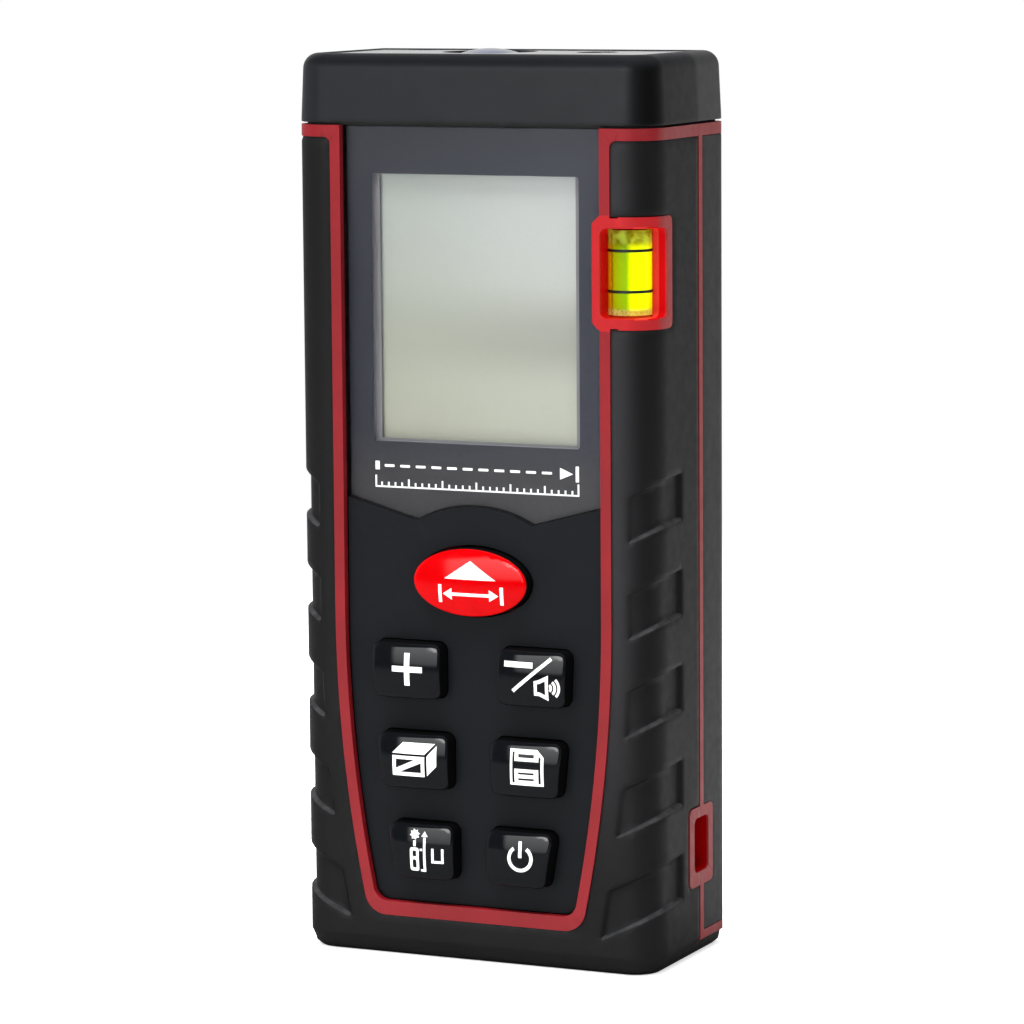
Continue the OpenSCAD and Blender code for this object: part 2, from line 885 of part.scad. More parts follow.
// Parts soldered to the back of the main board
module board_chips() {
    y0 = board_back_y + 0.01;
    color([0.1, 0.1, 0.1]) {
        block(-10, 2, y0, y0 + 1.5, 30, 42);
        block(6, 12, y0, y0 + 1.2, 34, 39);
        block(-9, -3, y0, y0 + 1.2, 18, 23);
        block(5, 10, y0, y0 + 1.4, 20, 24);
        block(-4.2, 4.2, y0, y0 + 1.1, 56.8, 58.8);
    }
    color("silver") bar_y(-15.5, 34, 1.5, y0, y0 + 2);
    color("tan") for (i = [0:4]) block(12.8, 14, y0, y0 + 0.7, 24 + 3 * i, 26 + 3 * i);
}

// A pan-head screw along Y, with its head at the back and a cross recess
module screw(head_r, head_t, shank_r, shank_l) {
    difference() {
        union() {
            bar_y(0, 0, head_r, 0, head_t);
            bar_y(0, 0, shank_r, -shank_l, eps);
        }
        for (a = [0, 90]) rotate([0, a, 0])
            block(-head_r * 0.6, head_r * 0.6, head_t * 0.45, far, -0.2, 0.2);
    }
}

module board_screws() {
    color("silver") for (p = board_screw_places)
        translate([p.x, board_back_y + 0.02, p.y]) screw(1.6, 1, 0.8, 3.6);
}

module buzzer() {
    color([0.08, 0.08, 0.08]) difference() {
        bar_y(16.6, 45, 4.3, board_back_y + 0.02, board_back_y + 2.6);
        bar_y(16.6, 45, 0.8, board_back_y + 1.8, far);
    }
}

// ---------- Optics ----------

module optics_frame() {
    neck_top = plate_z - plate_t - 0.4;
    color([0.12, 0.12, 0.12]) difference() {
        union() {
            block(-11.4, 3.8, frame_y0, 9, frame_z[0], frame_z[1]);
            block(3, 15.8, frame_y0, 6.2, frame_z[0] + 14, frame_z[1]);
            bar_z(-lens_x, optic_y, lens_r + 0.8, frame_z[1] - eps, neck_top);
            bar_z(laser_x, optic_y, 4.3, frame_z[1] - eps, neck_top);
            block(-lens_x, laser_x, optic_y - 2, optic_y + 2, frame_z[1] - eps, frame_z[1] + 4);
            for (p = frame_screw_places)
                block(p.x - 2.4, p.x + 2.4, frame_y0, frame_y0 + 1.6, p.y - 3, p.y + 3);
            block(3, 14.2, frame_y0, frame_y0 + 1.6, 68, 81);
            for (p = frame_screw_places) bar_y(p.x, p.y, 1.8, board_back_y + 0.02, frame_y0 + 1.6);
        }
        translate([-lens_x, optic_y, frame_z[0] + 5])
            cylinder(r1 = 1.6, r2 = lens_r - 1, h = 39);
        bar_z(-lens_x, optic_y, lens_r - 1, frame_z[0] + 44 - eps, far);
        bar_z(-lens_x, optic_y, lens_r + 0.05, plate_z - plate_t - 2.5, far);
        bar_z(-lens_x, optic_y, 2.8, 0, frame_z[0] + 3.8);
        bar_z(-lens_x, optic_y, 1.6, 0, frame_z[0] + 6);
        bar_z(laser_x, optic_y, 3.55, 0, frame_z[1] - 2);
        bar_z(laser_x, optic_y, 2.5, 0, far);
        bar_z(laser_x, optic_y, exit_r + 0.1, plate_z - 1.7, far);
        for (p = frame_screw_places) bar_y(p.x, p.y, 0.95, -far, far);
    }
}

module frame_screws() {
    color("silver") for (p = frame_screw_places)
        translate([p.x, frame_y0 + 1.62, p.y]) screw(1.6, 1, 0.8, 3.1);
}

// Brass barrel of the laser, with the diode can and its three legs at the lower end
module laser_module() {
    color("goldenrod") difference() {
        bar_z(laser_x, optic_y, 3.5, 84, 102);
        bar_z(laser_x, optic_y, 2.45, 92, far);
    }
    color("silver") {
        bar_z(laser_x, optic_y, 2.8, 82.6, 84);
        for (a = [90, 210, 330])
            bar_z(laser_x + 1.2 * cos(a), optic_y + 1.2 * sin(a), 0.22, 78.6, 82.6);
    }
}

module collimating_lens() {
    color("lightsteelblue", 0.6) union() {
        bar_z(laser_x, optic_y, 2.4, 99, 100.4);
        intersection() {
            translate([laser_x, optic_y, 95.6]) sphere(5.4);
            bar_z(laser_x, optic_y, 2.4, 100, far);
        }
    }
}

module detector() {
    color("silver") union() {
        bar_z(-lens_x, optic_y, 2.7, frame_z[0] + 0.1, frame_z[0] + 0.6);
        bar_z(-lens_x, optic_y, 2.3, frame_z[0] + 0.1, frame_z[0] + 3.6);
    }
}

module detector_board() {
    color("darkgreen") block(-11.2, 3.6, frame_y0 + 0.2, 8.6, frame_z[0] - 1.1, frame_z[0] - 0.02);
}

// Flat cable from the detector board, forwards and down to the main board
module flex_cable() {
    r = 2.4;
    t = 0.15;
    y0 = board_back_y + 1.3;
    z_top = frame_z[0] - 1.15;
    path = [
        [y0, 56.9],
        for (i = [0:8]) [y0 + r - r * cos(90 * i / 8), z_top - t / 2 - r + r * sin(90 * i / 8)],
        [6, z_top - t / 2]
    ];
    color("darkorange") sideways(-3.4, 3.4) polygon(ribbon(path, t));
}

// A band of thickness t along a path
function ribbon(path, t) =
    let (
        n = len(path),
        side = [for (i = [0:n - 1])
            let (d = unit(path[min(i + 1, n - 1)] - path[max(i - 1, 0)])) [-d.y, d.x] * t / 2]
    )
    concat(
        [for (i = [0:n - 1]) path[i] + side[i]],
        [for (i = [n - 1:-1:0]) path[i] - side[i]]
    );

// ---------- Power ----------

// A battery standing on its flat end, with its button at the top
module cell() {
    bar_z(0, 0, cell_r, 0, cell_len - 1);
    bar_z(0, 0, 1.9, cell_len - 1 - eps, cell_len);
}

module left_battery() {
    color("steelblue") translate([-cell_x, cell_y, cell_low[0]]) cell();
}

module right_battery() {
    color("steelblue") translate([cell_x, cell_y, cell_low[1] + cell_len])
        rotate([180, 0, 0]) cell();
}

// Square-wire coil of three turns
module coil(h) {
    r = 2.3;
    wire = 0.5;
    turns = 3;
    spread = 360 * turns * wire / h;
    linear_extrude(h, twist = 360 * turns, slices = 24 * turns, $fn = 8) polygon(concat(
        [for (i = [0:3]) (r + wire) * [cos(spread * i / 3), sin(spread * i / 3)]],
        [for (i = [3:-1:0]) r * [cos(spread * i / 3), sin(spread * i / 3)]]
    ));
}

module battery_springs() {
    h = spring_h - 0.1;
    color("silver") {
        translate([-cell_x, cell_y, bay_z0 + contact_t + 0.05]) coil(h);
        translate([cell_x, cell_y, bay_z1 - contact_t - h - 0.05]) coil(h);
    }
}

// One plate joins the cells at the lower end, and two plates with tails end the circuit above
module battery_contacts() {
    half = 3.8;
    color("silver") {
        block(-cell_x - half, cell_x + half, cell_y - half, cell_y + 3.2,
            bay_z0 + 0.02, bay_z0 + contact_t);
        for (s = [-1, 1]) {
            block(s * cell_x - half, s * cell_x + half, cell_y - half, cell_y + 3.2,
                bay_z1 - contact_t, bay_z1 - 0.02);
            block(s * cell_x - 1, s * cell_x + 1, 2.85, 3.15, bay_z1 - contact_t, bay_z1 + 2.6);
        }
    }
}

// Two wires that rise from the tails and bend forwards to the main board
module battery_wires() {
    r = 0.45;
    bend = 1.5;
    y0 = 2.35;
    z0 = bay_z1 + 1.4;
    z1 = z0 + 1.6;
    for (s = [-1, 1]) translate([s * cell_x, 0, 0]) color(s < 0 ? "red" : "black") {
        bar_z(0, y0, r, z0, z1);
        translate([0, y0 - bend, z1]) rotate([90, 0, 90])
            rotate_extrude(angle = 90) translate([bend, 0]) circle(r, $fn = 24);
        bar_y(0, z1 + bend, r, board_back_y + 0.02, y0 - bend);
    }
}

// Outline of the battery door: square below, where it rolls, and rounded above
module door_outline(grow) {
    polygon(rounded(box_points(-door_half - grow, door_half + grow,
        door_z0 + 8, door_z1 + grow), 2 + grow));
    polygon(box_points(-door_half - grow, door_half + grow, door_z0 - grow, door_z0 + 12));
}

// Door that hooks in at its lower edge and rolls on that rounded edge as it opens
module battery_door() {
    rim = 1;
    rim_y = half_d - inner - 0.1;
    color([0.22, 0.22, 0.23]) union() {
        intersection() {
            facing(door_y, half_d) door_outline(0);
            sideways(-far, far) union() {
                translate([half_d - hinge_r, door_z0 + hinge_r]) circle(hinge_r);
                translate([door_y, door_z0 + hinge_r]) square([2 * hinge_r, far]);
            }
        }
        facing(rim_y, door_y + eps) difference() {
            polygon(box_points(-bay_half + 0.2, bay_half - 0.2, bay_z0 + 0.2, bay_z1 - 0.2));
            polygon(box_points(-bay_half + 0.2 + rim, bay_half - 0.2 - rim,
                bay_z0 + 0.2 + rim, bay_z1 - 0.2 - rim));
        }
        for (s = [-1, 1]) {
            block(s * 10.4 - 0.6, s * 10.4 + 0.6, 8.55, rim_y + eps, bay_z0 + 0.4, bay_z0 + 1.2);
            block(s * 10.4 - 0.6, s * 10.4 + 0.6, 8.55, 9.5, bay_z0 - 0.72, bay_z0 + 1.2);
        }
    }
}

// Foam pad that presses the batteries down
module door_pad() {
    color("dimgray") facing(cell_y + cell_r + 0.04, door_y - 0.01)
        polygon(rounded(box_points(-8, 8, 24, 40), 1));
}

module case_screws() {
    color("silver") case_screw_places()
        translate([0, half_d - 5.48, 0]) screw(2.1, 1.4, 0.95, 11.4);
}

// ---------- Spirit level ----------

module vial_tube() {
    color([0.8, 0.95, 0.3], 0.5) difference() {
        bar_z(vial_x, vial_y, vial_r, vial_low, vial_high);
        bar_z(vial_x, vial_y, vial_bore, vial_low + 0.6, far);
    }
}

// Coloured spirit, with the channel in which the bubble travels
module vial_spirit() {
    z1 = vial_high - 0.5;
    color([0.75, 0.95, 0.1], 0.6) difference() {
        bar_z(vial_x, vial_y, vial_bore - 0.02, vial_low + 0.62, z1);
        bar_z(vial_x, vial_y, bubble_r + 0.06, vial_low + 0.9, z1 - 0.04);
    }
}

// The bubble rests against the upper end while the meter stands upright
module vial_bubble() {
    color("white", 0.5) translate([vial_x, vial_y, 0]) rotate_extrude() polygon(concat(
        [[0, bubble_z - 0.75]],
        [for (i = [0:8]) let (a = -90 + 22.5 * i)
            [bubble_r - 0.75 + 0.75 * cos(a), bubble_z + 0.75 * sin(a)]],
        [[0, bubble_z + 0.75]]
    ));
}

// Two reading lines around the vial
module vial_rings() {
    color("black") for (z = [vial_z - 2.35, vial_z + 2.75]) difference() {
        bar_z(vial_x, vial_y, vial_r + 0.07, z - 0.17, z + 0.17);
        bar_z(vial_x, vial_y, vial_r + 0.005, 0, far);
    }
}

module vial_plug() {
    color("olive") bar_z(vial_x, vial_y, vial_bore - 0.02, vial_high - 0.48, vial_high);
}

module rating_label() {
    color("gainsboro") facing(half_d - 0.19, half_d - 0.03)
        polygon(rounded(box_points(-16.4, 16.4, 63.1, 92.9), 1.4));
}

// ---------- Assembly ----------

front_shell();
front_grip();
rear_shell();
rear_grip();
head_cap();
cap_seal();
optic_window();
receiver_lens();
laser_window();
display_window();
window_mask();
lcd_glass();
lcd_holder();
backlight();
zebra_strip();
keypad_panel();
measure_key();
plus_key();
minus_key();
area_key();
memory_key();
reference_key();
clear_key();
key_mat();
snap_domes();
main_board();
board_chips();
board_screws();
buzzer();
optics_frame();
frame_screws();
laser_module();
collimating_lens();
detector();
detector_board();
flex_cable();
left_battery();
right_battery();
battery_springs();
battery_contacts();
battery_wires();
battery_door();
door_pad();
case_screws();
vial_tube();
vial_spirit();
vial_bubble();
vial_rings();
vial_plug();
rating_label();
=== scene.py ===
"""Laser distance meter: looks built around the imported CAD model.

Lengths inside this script are in millimetres until a mesh is made. The body's skin is described
by two running coordinates: u, the distance around the section from the middle of the front, and
w, the height, which runs on around the rounded lower edge below the foot radius.
"""
import json
import math

import bmesh
import bpy
import numpy as np
from mathutils import Matrix, Vector
from mathutils.geometry import delaunay_2d_cdt


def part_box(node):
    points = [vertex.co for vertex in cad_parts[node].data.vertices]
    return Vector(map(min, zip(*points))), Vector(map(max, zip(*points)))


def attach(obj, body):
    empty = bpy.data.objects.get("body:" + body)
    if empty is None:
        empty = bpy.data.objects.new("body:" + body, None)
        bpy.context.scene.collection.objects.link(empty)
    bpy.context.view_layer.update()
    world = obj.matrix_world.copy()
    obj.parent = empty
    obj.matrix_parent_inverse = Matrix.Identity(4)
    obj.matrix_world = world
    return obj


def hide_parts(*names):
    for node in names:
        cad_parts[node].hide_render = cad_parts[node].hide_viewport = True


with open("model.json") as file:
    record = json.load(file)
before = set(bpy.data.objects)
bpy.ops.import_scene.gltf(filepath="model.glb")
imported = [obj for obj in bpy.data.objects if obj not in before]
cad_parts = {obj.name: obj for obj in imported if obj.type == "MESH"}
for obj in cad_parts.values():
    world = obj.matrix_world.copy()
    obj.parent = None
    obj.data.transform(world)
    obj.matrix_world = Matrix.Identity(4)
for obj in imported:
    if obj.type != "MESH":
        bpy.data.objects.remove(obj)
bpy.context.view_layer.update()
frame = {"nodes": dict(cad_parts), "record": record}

MM = 0.001
X, Y, Z = AXES = (1, 0, 0), (0, 1, 0), (0, 0, 1)


def node_box(name):
    """Lowest and highest corner of a CAD node, in millimetres."""
    low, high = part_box(name)
    return np.array(low) / MM, np.array(high) / MM


# ---------- Sizes taken from the frame, and the few that shape the skin ----------

GRIP_LOW, GRIP_HIGH = node_box("front_grip")
REAR_LOW, REAR_HIGH = node_box("rear_grip")
HALF_W = GRIP_HIGH[0]
HALF_D = -GRIP_LOW[1]
BAND_Z = GRIP_HIGH[2]
SEAM_Y = node_box("front_shell")[1][1]
FOOT_Z = node_box("rear_shell")[0][2]
CAP_Z = node_box("cap_seal")[1][2] + 0.02
TOP_Z = node_box("head_cap")[1][2]
PANEL_Y = node_box("keypad_panel")[0][1]
FRONT_R = 4.5
REAR_R = 2.7
FOOT_R = 1.2
FOOT_DRAFT = 0.45
FOOT_CREASE = 2.2
GRIP_T = 1.2
FRAME_R = 0.9
STRIP_HALF = 19.3
STRIP_W = 1.4
STRIP_BOTTOM = 5.25
STRIP_CORNER = 3.0
TAPER_START = 45.0
TAPER_R = 185.0


# ---------- Outlines ----------

def unit(v):
    return v / np.linalg.norm(v)


def arc(centre, radius, start, end, steps):
    """Points on an arc, with its angles in degrees."""
    angles = np.radians(np.linspace(start, end, steps + 1))
    return np.array(centre) + radius * np.stack([np.cos(angles), np.sin(angles)], 1)


def rounded(points, radius, steps=6):
    """A closed outline with every corner rounded; radius is one number or one for each corner."""
    points = np.array(points, float)
    count = len(points)
    radii = np.broadcast_to(radius, count)
    out = []
    for i in range(count):
        before, corner, after = points[i - 1], points[i], points[(i + 1) % count]
        r = radii[i]
        if r <= 0:
            out.append(corner[None])
            continue
        a, b = unit(before - corner), unit(after - corner)
        half = math.acos(np.clip(a @ b, -1, 1)) / 2
        centre = corner + unit(a + b) * r / math.sin(half)
        start, end = corner + a * r / math.tan(half) - centre, corner + b * r / math.tan(half) - centre
        first = math.degrees(math.atan2(start[1], start[0]))
        cross = start[0] * end[1] - start[1] * end[0]
        turn = math.degrees(math.atan2(cross, start @ end))
        out.append(arc(centre, r, first, first + turn, steps))
    return np.concatenate(out)


def box_outline(x0, x1, z0, z1, radius=0.0, steps=6):
    corners = [(x0, z0), (x1, z0), (x1, z1), (x0, z1)]
    return rounded(corners, radius, steps) if radius > 0 else np.array(corners, float)


def ellipse_outline(cx, cz, a, b, steps=96):
    angles = np.linspace(0, 2 * math.pi, steps, endpoint=False)
    return np.stack([cx + a * np.cos(angles), cz + b * np.sin(angles)], 1)


def taper_half(half, z):
    """Half width at height z of a line that runs parallel to the trim strip."""
    r = TAPER_R - STRIP_HALF + half
    drop = np.maximum(TAPER_START - np.asarray(z, float), 0)
    return half - r + np.sqrt(r * r - drop ** 2)


def taper_side(half, bottom, corner, top):
    """The right half of a front panel outline, from its top to the middle of its lower edge."""
    r = TAPER_R - STRIP_HALF + half
    cx, cz = half - r, bottom + corner
    kx = cx + math.sqrt((r - corner) ** 2 - (TAPER_START - cz) ** 2)
    meet = math.degrees(math.atan2(cz - TAPER_START, kx - cx))
    return np.concatenate([
        [(half, top)],
        arc((cx, TAPER_START), r, 0, meet, 16),
        arc((kx, cz), corner, meet, -90, 8)[1:],
    ])


def mirror(points):
    return points[::-1] * (-1, 1)


# ---------- Triangulated sheets ----------

def signed_area(loop):
    x, y = loop[:, 0], loop[:, 1]
    return 0.5 * np.sum(x * np.roll(y, -1) - np.roll(x, -1) * y)


def oriented(loop, counter_clockwise):
    return loop if (signed_area(loop) > 0) == counter_clockwise else loop[::-1]


def resampled(loop, step):
    """The same closed loop with long edges split to about one step."""
    out = []
    for a, b in zip(loop, np.roll(loop, -1, 0)):
        length = np.linalg.norm(b - a)
        if length < 1e-6:
            continue
        pieces = max(1, int(round(length / step)))
        out.append(a + (b - a) * np.arange(pieces)[:, None] / pieces)
    return np.concatenate(out)


def offset_loop(loop, distance):
    """The loop moved to its left by a small distance."""
    ahead = np.roll(loop, -1, 0) - loop
    ahead /= np.linalg.norm(ahead, axis=1)[:, None]
    left = np.stack([-ahead[:, 1], ahead[:, 0]], 1)
    mean = left + np.roll(left, 1, 0)
    scale = np.maximum(np.sum(mean * left, 1), 0.5)
    return loop + distance * mean / scale[:, None]


def inside(points, loop):
    """Which points lie within a closed loop."""
    x, y = points[:, 0], points[:, 1]
    result = np.zeros(len(points), bool)
    for (ax, ay), (bx, by) in zip(loop, np.roll(loop, -1, 0)):
        if ay == by:
            continue
        crosses = (ay > y) != (by > y)
        result ^= crosses & (x < ax + (y - ay) * (bx - ax) / (by - ay))
    return result


def distance_to_edges(points, edges):
    """Distance of each point from the nearest of some edges, each given by its two ends."""
    best = np.full(len(points), np.inf)
    for a, b in edges:
        d = b - a
        t = np.clip(((points - a) @ d) / max(d @ d, 1e-12), 0, 1)
        gap = points - a - t[:, None] * d
        best = np.minimum(best, np.einsum("ij,ij->i", gap, gap))
    return np.sqrt(best)


def distance_to(points, loops):
    """Distance of each point from the nearest of some closed loops."""
    edges = [edge for loop in loops for edge in zip(loop, np.roll(loop, -1, 0))]
    return distance_to_edges(points, edges)


def smoothstep(t):
    t = np.clip(t, 0, 1)
    return t * t * (3 - 2 * t)


EDGE_ANGLES = (22.5, 45.0, 67.5, 90.0)
WALL_SHARES = (0, 0.25, 0.5, 0.75, 1)


def edge_drop(distance, radius):
    """How far a rounded edge lies below the surface at a distance from the boundary."""
    t = np.clip(radius - distance, 0, radius)
    return radius - np.sqrt(np.maximum(radius * radius - t * t, 0))


class Sheet:
    """A flat triangulated region with loops of vertices along its rounded edges and features."""

    def __init__(self, outer, holes=(), edge=0.2, step=0.8, grid=1.0, features=(), lines=()):
        self.outer = resampled(oriented(np.array(outer, float), True), step)
        self.holes = [resampled(oriented(np.array(h, float), False), step) for h in holes]
        self.edge = edge
        self.features = [(resampled(oriented(np.array(f, float), True), step), depth, width)
                         for f, depth, width in features]
        rims = [self.outer] + self.holes
        loops = list(rims)
        if edge > 0:
            for angle in EDGE_ANGLES:
                shift = edge * (1 - math.cos(math.radians(angle)))
                loops += [offset_loop(rim, shift) for rim in rims]
        for loop, _, width in self.features:
            loops += [offset_loop(loop, width * share) for share in WALL_SHARES]
        points = self._interior(loops + list(lines), grid)
        self._solve(loops, lines, points)
        self.rims = rims

    def _within(self, points):
        """Which points lie in the sheet, outside its holes."""
        return inside(points, self.outer) & ~np.any([inside(points, h) for h in self.holes], 0)

    def _interior(self, loops, grid):
        low, high = self.outer.min(0), self.outer.max(0)
        xs = np.arange(low[0] + grid / 2, high[0], grid)
        ys = np.arange(low[1] + grid / 2, high[1], grid)
        points = np.stack(np.meshgrid(xs, ys), -1).reshape(-1, 2)
        points = points[self._within(points)]
        return points[distance_to(points, loops) > grid * 0.45]

    def _solve(self, loops, lines, points):
        verts, edges = [], []
        for path, steps in [(p, len(p)) for p in loops] + [(p, len(p) - 1) for p in lines]:
            first = len(verts)
            verts += list(path)
            edges += [(first + i, first + (i + 1) % len(path)) for i in range(steps)]
        verts += list(points)
        solved = delaunay_2d_cdt([Vector(v) for v in verts], edges, [], 0, 1e-5, False)
        self.points = np.array([tuple(v) for v in solved[0]])
        faces = np.array([f for f in solved[2] if len(f) == 3])
        faces = faces[self._within(self.points[faces].mean(1))]
        a, b, c = (self.points[faces[:, i]] for i in range(3))
        area = (b[:, 0] - a[:, 0]) * (c[:, 1] - a[:, 1]) - (b[:, 1] - a[:, 1]) * (c[:, 0] - a[:, 0])
        real = np.abs(area) > 1e-9
        faces, area = faces[real], area[real]
        faces[area < 0] = faces[area < 0][:, ::-1]
        used = np.unique(faces)
        renumber = np.full(len(self.points), -1)
        renumber[used] = np.arange(len(used))
        self.points = self.points[used]
        self.faces = renumber[faces]

    def height(self):
        """Height of every vertex over the flat surface: rounded edges and sunken features."""
        h = -edge_drop(distance_to(self.points, self.rims), self.edge) if self.edge > 0 \
            else np.zeros(len(self.points))
        for loop, depth, width in self.features:
            within = inside(self.points, loop)
            depths = depth * smoothstep(distance_to(self.points, [loop]) / width)
            h = h - np.where(within, depths, 0)
        return h

    def rim_edges(self):
        """Directed edges that belong to one face only."""
        pairs = np.concatenate([self.faces[:, [0, 1]], self.faces[:, [1, 2]], self.faces[:, [2, 0]]])
        known = {tuple(p) for p in pairs}
        return np.array([p for p in known if (p[1], p[0]) not in known])


def front_place(y):
    """Places outline points (x, z) on the plane at depth y, facing the front."""
    def place(points):
        base = np.stack([points[:, 0], np.full(len(points), y), points[:, 1]], 1)
        return base, np.tile((0.0, -1.0, 0.0), (len(points), 1))
    return place


def solid_from_sheet(sheet, place, thickness, rise=None):
    """Vertices and faces of a closed solid: the sheet's face, its walls and a flat back."""
    base, normal = place(sheet.points)
    h = sheet.height() + (0 if rise is None else rise(sheet.points))
    top = base + normal * h[:, None]
    bottom = base - normal * thickness
    count = len(top)
    faces = [tuple(f) for f in sheet.faces] + [tuple(f[::-1] + count) for f in sheet.faces]
    faces += [(b, a, a + count, b + count) for a, b in sheet.rim_edges()]
    return np.concatenate([top, bottom]), faces


# ---------- The skin of the body ----------

FRONT_FLAT = HALF_W - FRONT_R
FRONT_ARC = FRONT_R * math.pi / 2
SIDE_FLAT = 2 * HALF_D - FRONT_R - REAR_R
REAR_ARC = REAR_R * math.pi / 2
U_SIDE = FRONT_FLAT + FRONT_ARC
U_REAR = U_SIDE + SIDE_FLAT
U_BACK = U_REAR + REAR_ARC
U_MIDDLE = U_BACK + HALF_W - REAR_R


def side_u(y):
    """Running coordinate of a point on the right side face."""
    return U_SIDE + y + HALF_D - FRONT_R


def section_point(u):
    """Position and outward normal on the section, for u from -U_MIDDLE to 2 * U_MIDDLE."""
    u = np.asarray(u, float)
    left = (u < 0) | (u > U_MIDDLE)
    v = np.where(u > U_MIDDLE, 2 * U_MIDDLE - u, np.abs(u))
    front_angle = np.clip((v - FRONT_FLAT) / FRONT_R, 0, math.pi / 2)
    rear_angle = np.clip((v - U_REAR) / REAR_R, 0, math.pi / 2)
    angle = front_angle + rear_angle
    normal = np.stack([np.sin(angle), -np.cos(angle)], 1)
    x = np.minimum(v, FRONT_FLAT) + FRONT_R * np.sin(front_angle)
    x = x - REAR_R * (1 - np.cos(rear_angle)) - np.maximum(v - U_BACK, 0)
    y = -HALF_D + FRONT_R * (1 - np.cos(front_angle)) + REAR_R * np.sin(rear_angle)
    y = y + np.clip(v - U_SIDE, 0, SIDE_FLAT)
    flip = np.where(left, -1.0, 1.0)
    return np.stack([x * flip, y], 1), normal * np.stack([flip, np.ones_like(flip)], 1)


FOOT_SLANT = math.hypot(FOOT_DRAFT, FOOT_CREASE - FOOT_R)
FOOT_ARC_W = FOOT_CREASE - FOOT_SLANT
FLOOR_W = FOOT_ARC_W - FOOT_R * math.pi / 2


def body_place(points):
    """Places (u, w) on the body's skin; w runs on below the crease, down the foot and around it."""
    spot, normal = section_point(points[:, 0])
    w = points[:, 1]
    slant = np.clip((FOOT_CREASE - w) / FOOT_SLANT, 0, 1)
    phi = np.clip((FOOT_ARC_W - w) / FOOT_R, 0, math.pi / 2)
    inset = FOOT_DRAFT * slant + FOOT_R * (1 - np.cos(phi))
    z = np.where(w >= FOOT_CREASE, w, FOOT_CREASE - (FOOT_CREASE - FOOT_R) * slant
                 - FOOT_R * np.sin(phi))
    lean = np.where(slant > 0, math.atan2(FOOT_DRAFT, FOOT_CREASE - FOOT_R), 0)
    tilt = np.maximum(phi, lean)
    base = np.concatenate([spot - normal * inset[:, None], z[:, None]], 1)
    full = np.concatenate([normal * np.cos(tilt)[:, None], -np.sin(tilt)[:, None]], 1)
    return base, full


# ---------- Mesh helpers ----------

def linked(name, data):
    """A new object in the scene."""
    made = bpy.data.objects.new(name, data)
    bpy.context.scene.collection.objects.link(made)
    return made


def make_object(name, verts, faces, material, body, sharp=35.0):
    """A shaded mesh piece in metres that rides on a body."""
    mesh = bpy.data.meshes.new(name)
    mesh.from_pydata([tuple(v) for v in np.asarray(verts) * MM], [], [tuple(map(int, f)) for f in faces])
    mesh.validate()
    bm = bmesh.new()
    bm.from_mesh(mesh)
    bmesh.ops.remove_doubles(bm, verts=bm.verts, dist=2e-7)
    bmesh.ops.recalc_face_normals(bm, faces=bm.faces)
    bm.to_mesh(mesh)
    bm.free()
    mesh.shade_smooth()
    mesh.set_sharp_from_angle(angle=math.radians(sharp))
    mesh.materials.append(material)
    piece = linked(name, mesh)
    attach(piece, body)
    return piece


def stand_in(name, verts, faces, slot, node, body="housing", sharp=50):
    """A piece shown in place of a CAD node, with the material of the node's slot."""
    piece = make_object(name, verts, faces, MATERIALS[slot], body, sharp)
    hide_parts(node)


def merged(parts):
    """Joins several (verts, faces) into one."""
    verts, faces, first = [], [], 0
    for v, f in parts:
        verts.append(np.asarray(v, float))
        faces += [tuple(i + first for i in face) for face in f]
        first += len(v)
    return np.concatenate(verts), faces


def looped(rings):
    """Faces between rings with the same number of points; the last ring joins the first."""
    count = len(rings[0])
    faces = []
    for r in range(len(rings)):
        a, b = r * count, ((r + 1) % len(rings)) * count
        faces += [(a + i, a + (i + 1) % count, b + (i + 1) % count, b + i) for i in range(count)]
    return np.concatenate(rings), faces


def soften(name):
    """Rounds the edges of a CAD node with modifiers only."""
    node = frame["nodes"][name]
    weld = node.modifiers.new("weld", "WELD")
    weld.merge_threshold = 1e-6
    bevel = node.modifiers.new("bevel", "BEVEL")
    bevel.width = 0.12 * MM
    bevel.segments = 2
    bevel.limit_method = "ANGLE"
    bevel.angle_limit = math.radians(35)
    bevel.miter_outer = "MITER_ARC"
    bevel.use_clamp_overlap = True
    node.data.shade_smooth()
    smooth = node.modifiers.new("normals", "WEIGHTED_NORMAL")
    smooth.keep_sharp = False


# ---------- Materials ----------

def opaque(value):
    """A colour with its alpha, from a colour or from one number for a grey."""
    return (*value, 1) if hasattr(value, "__len__") else (value, value, value, 1)


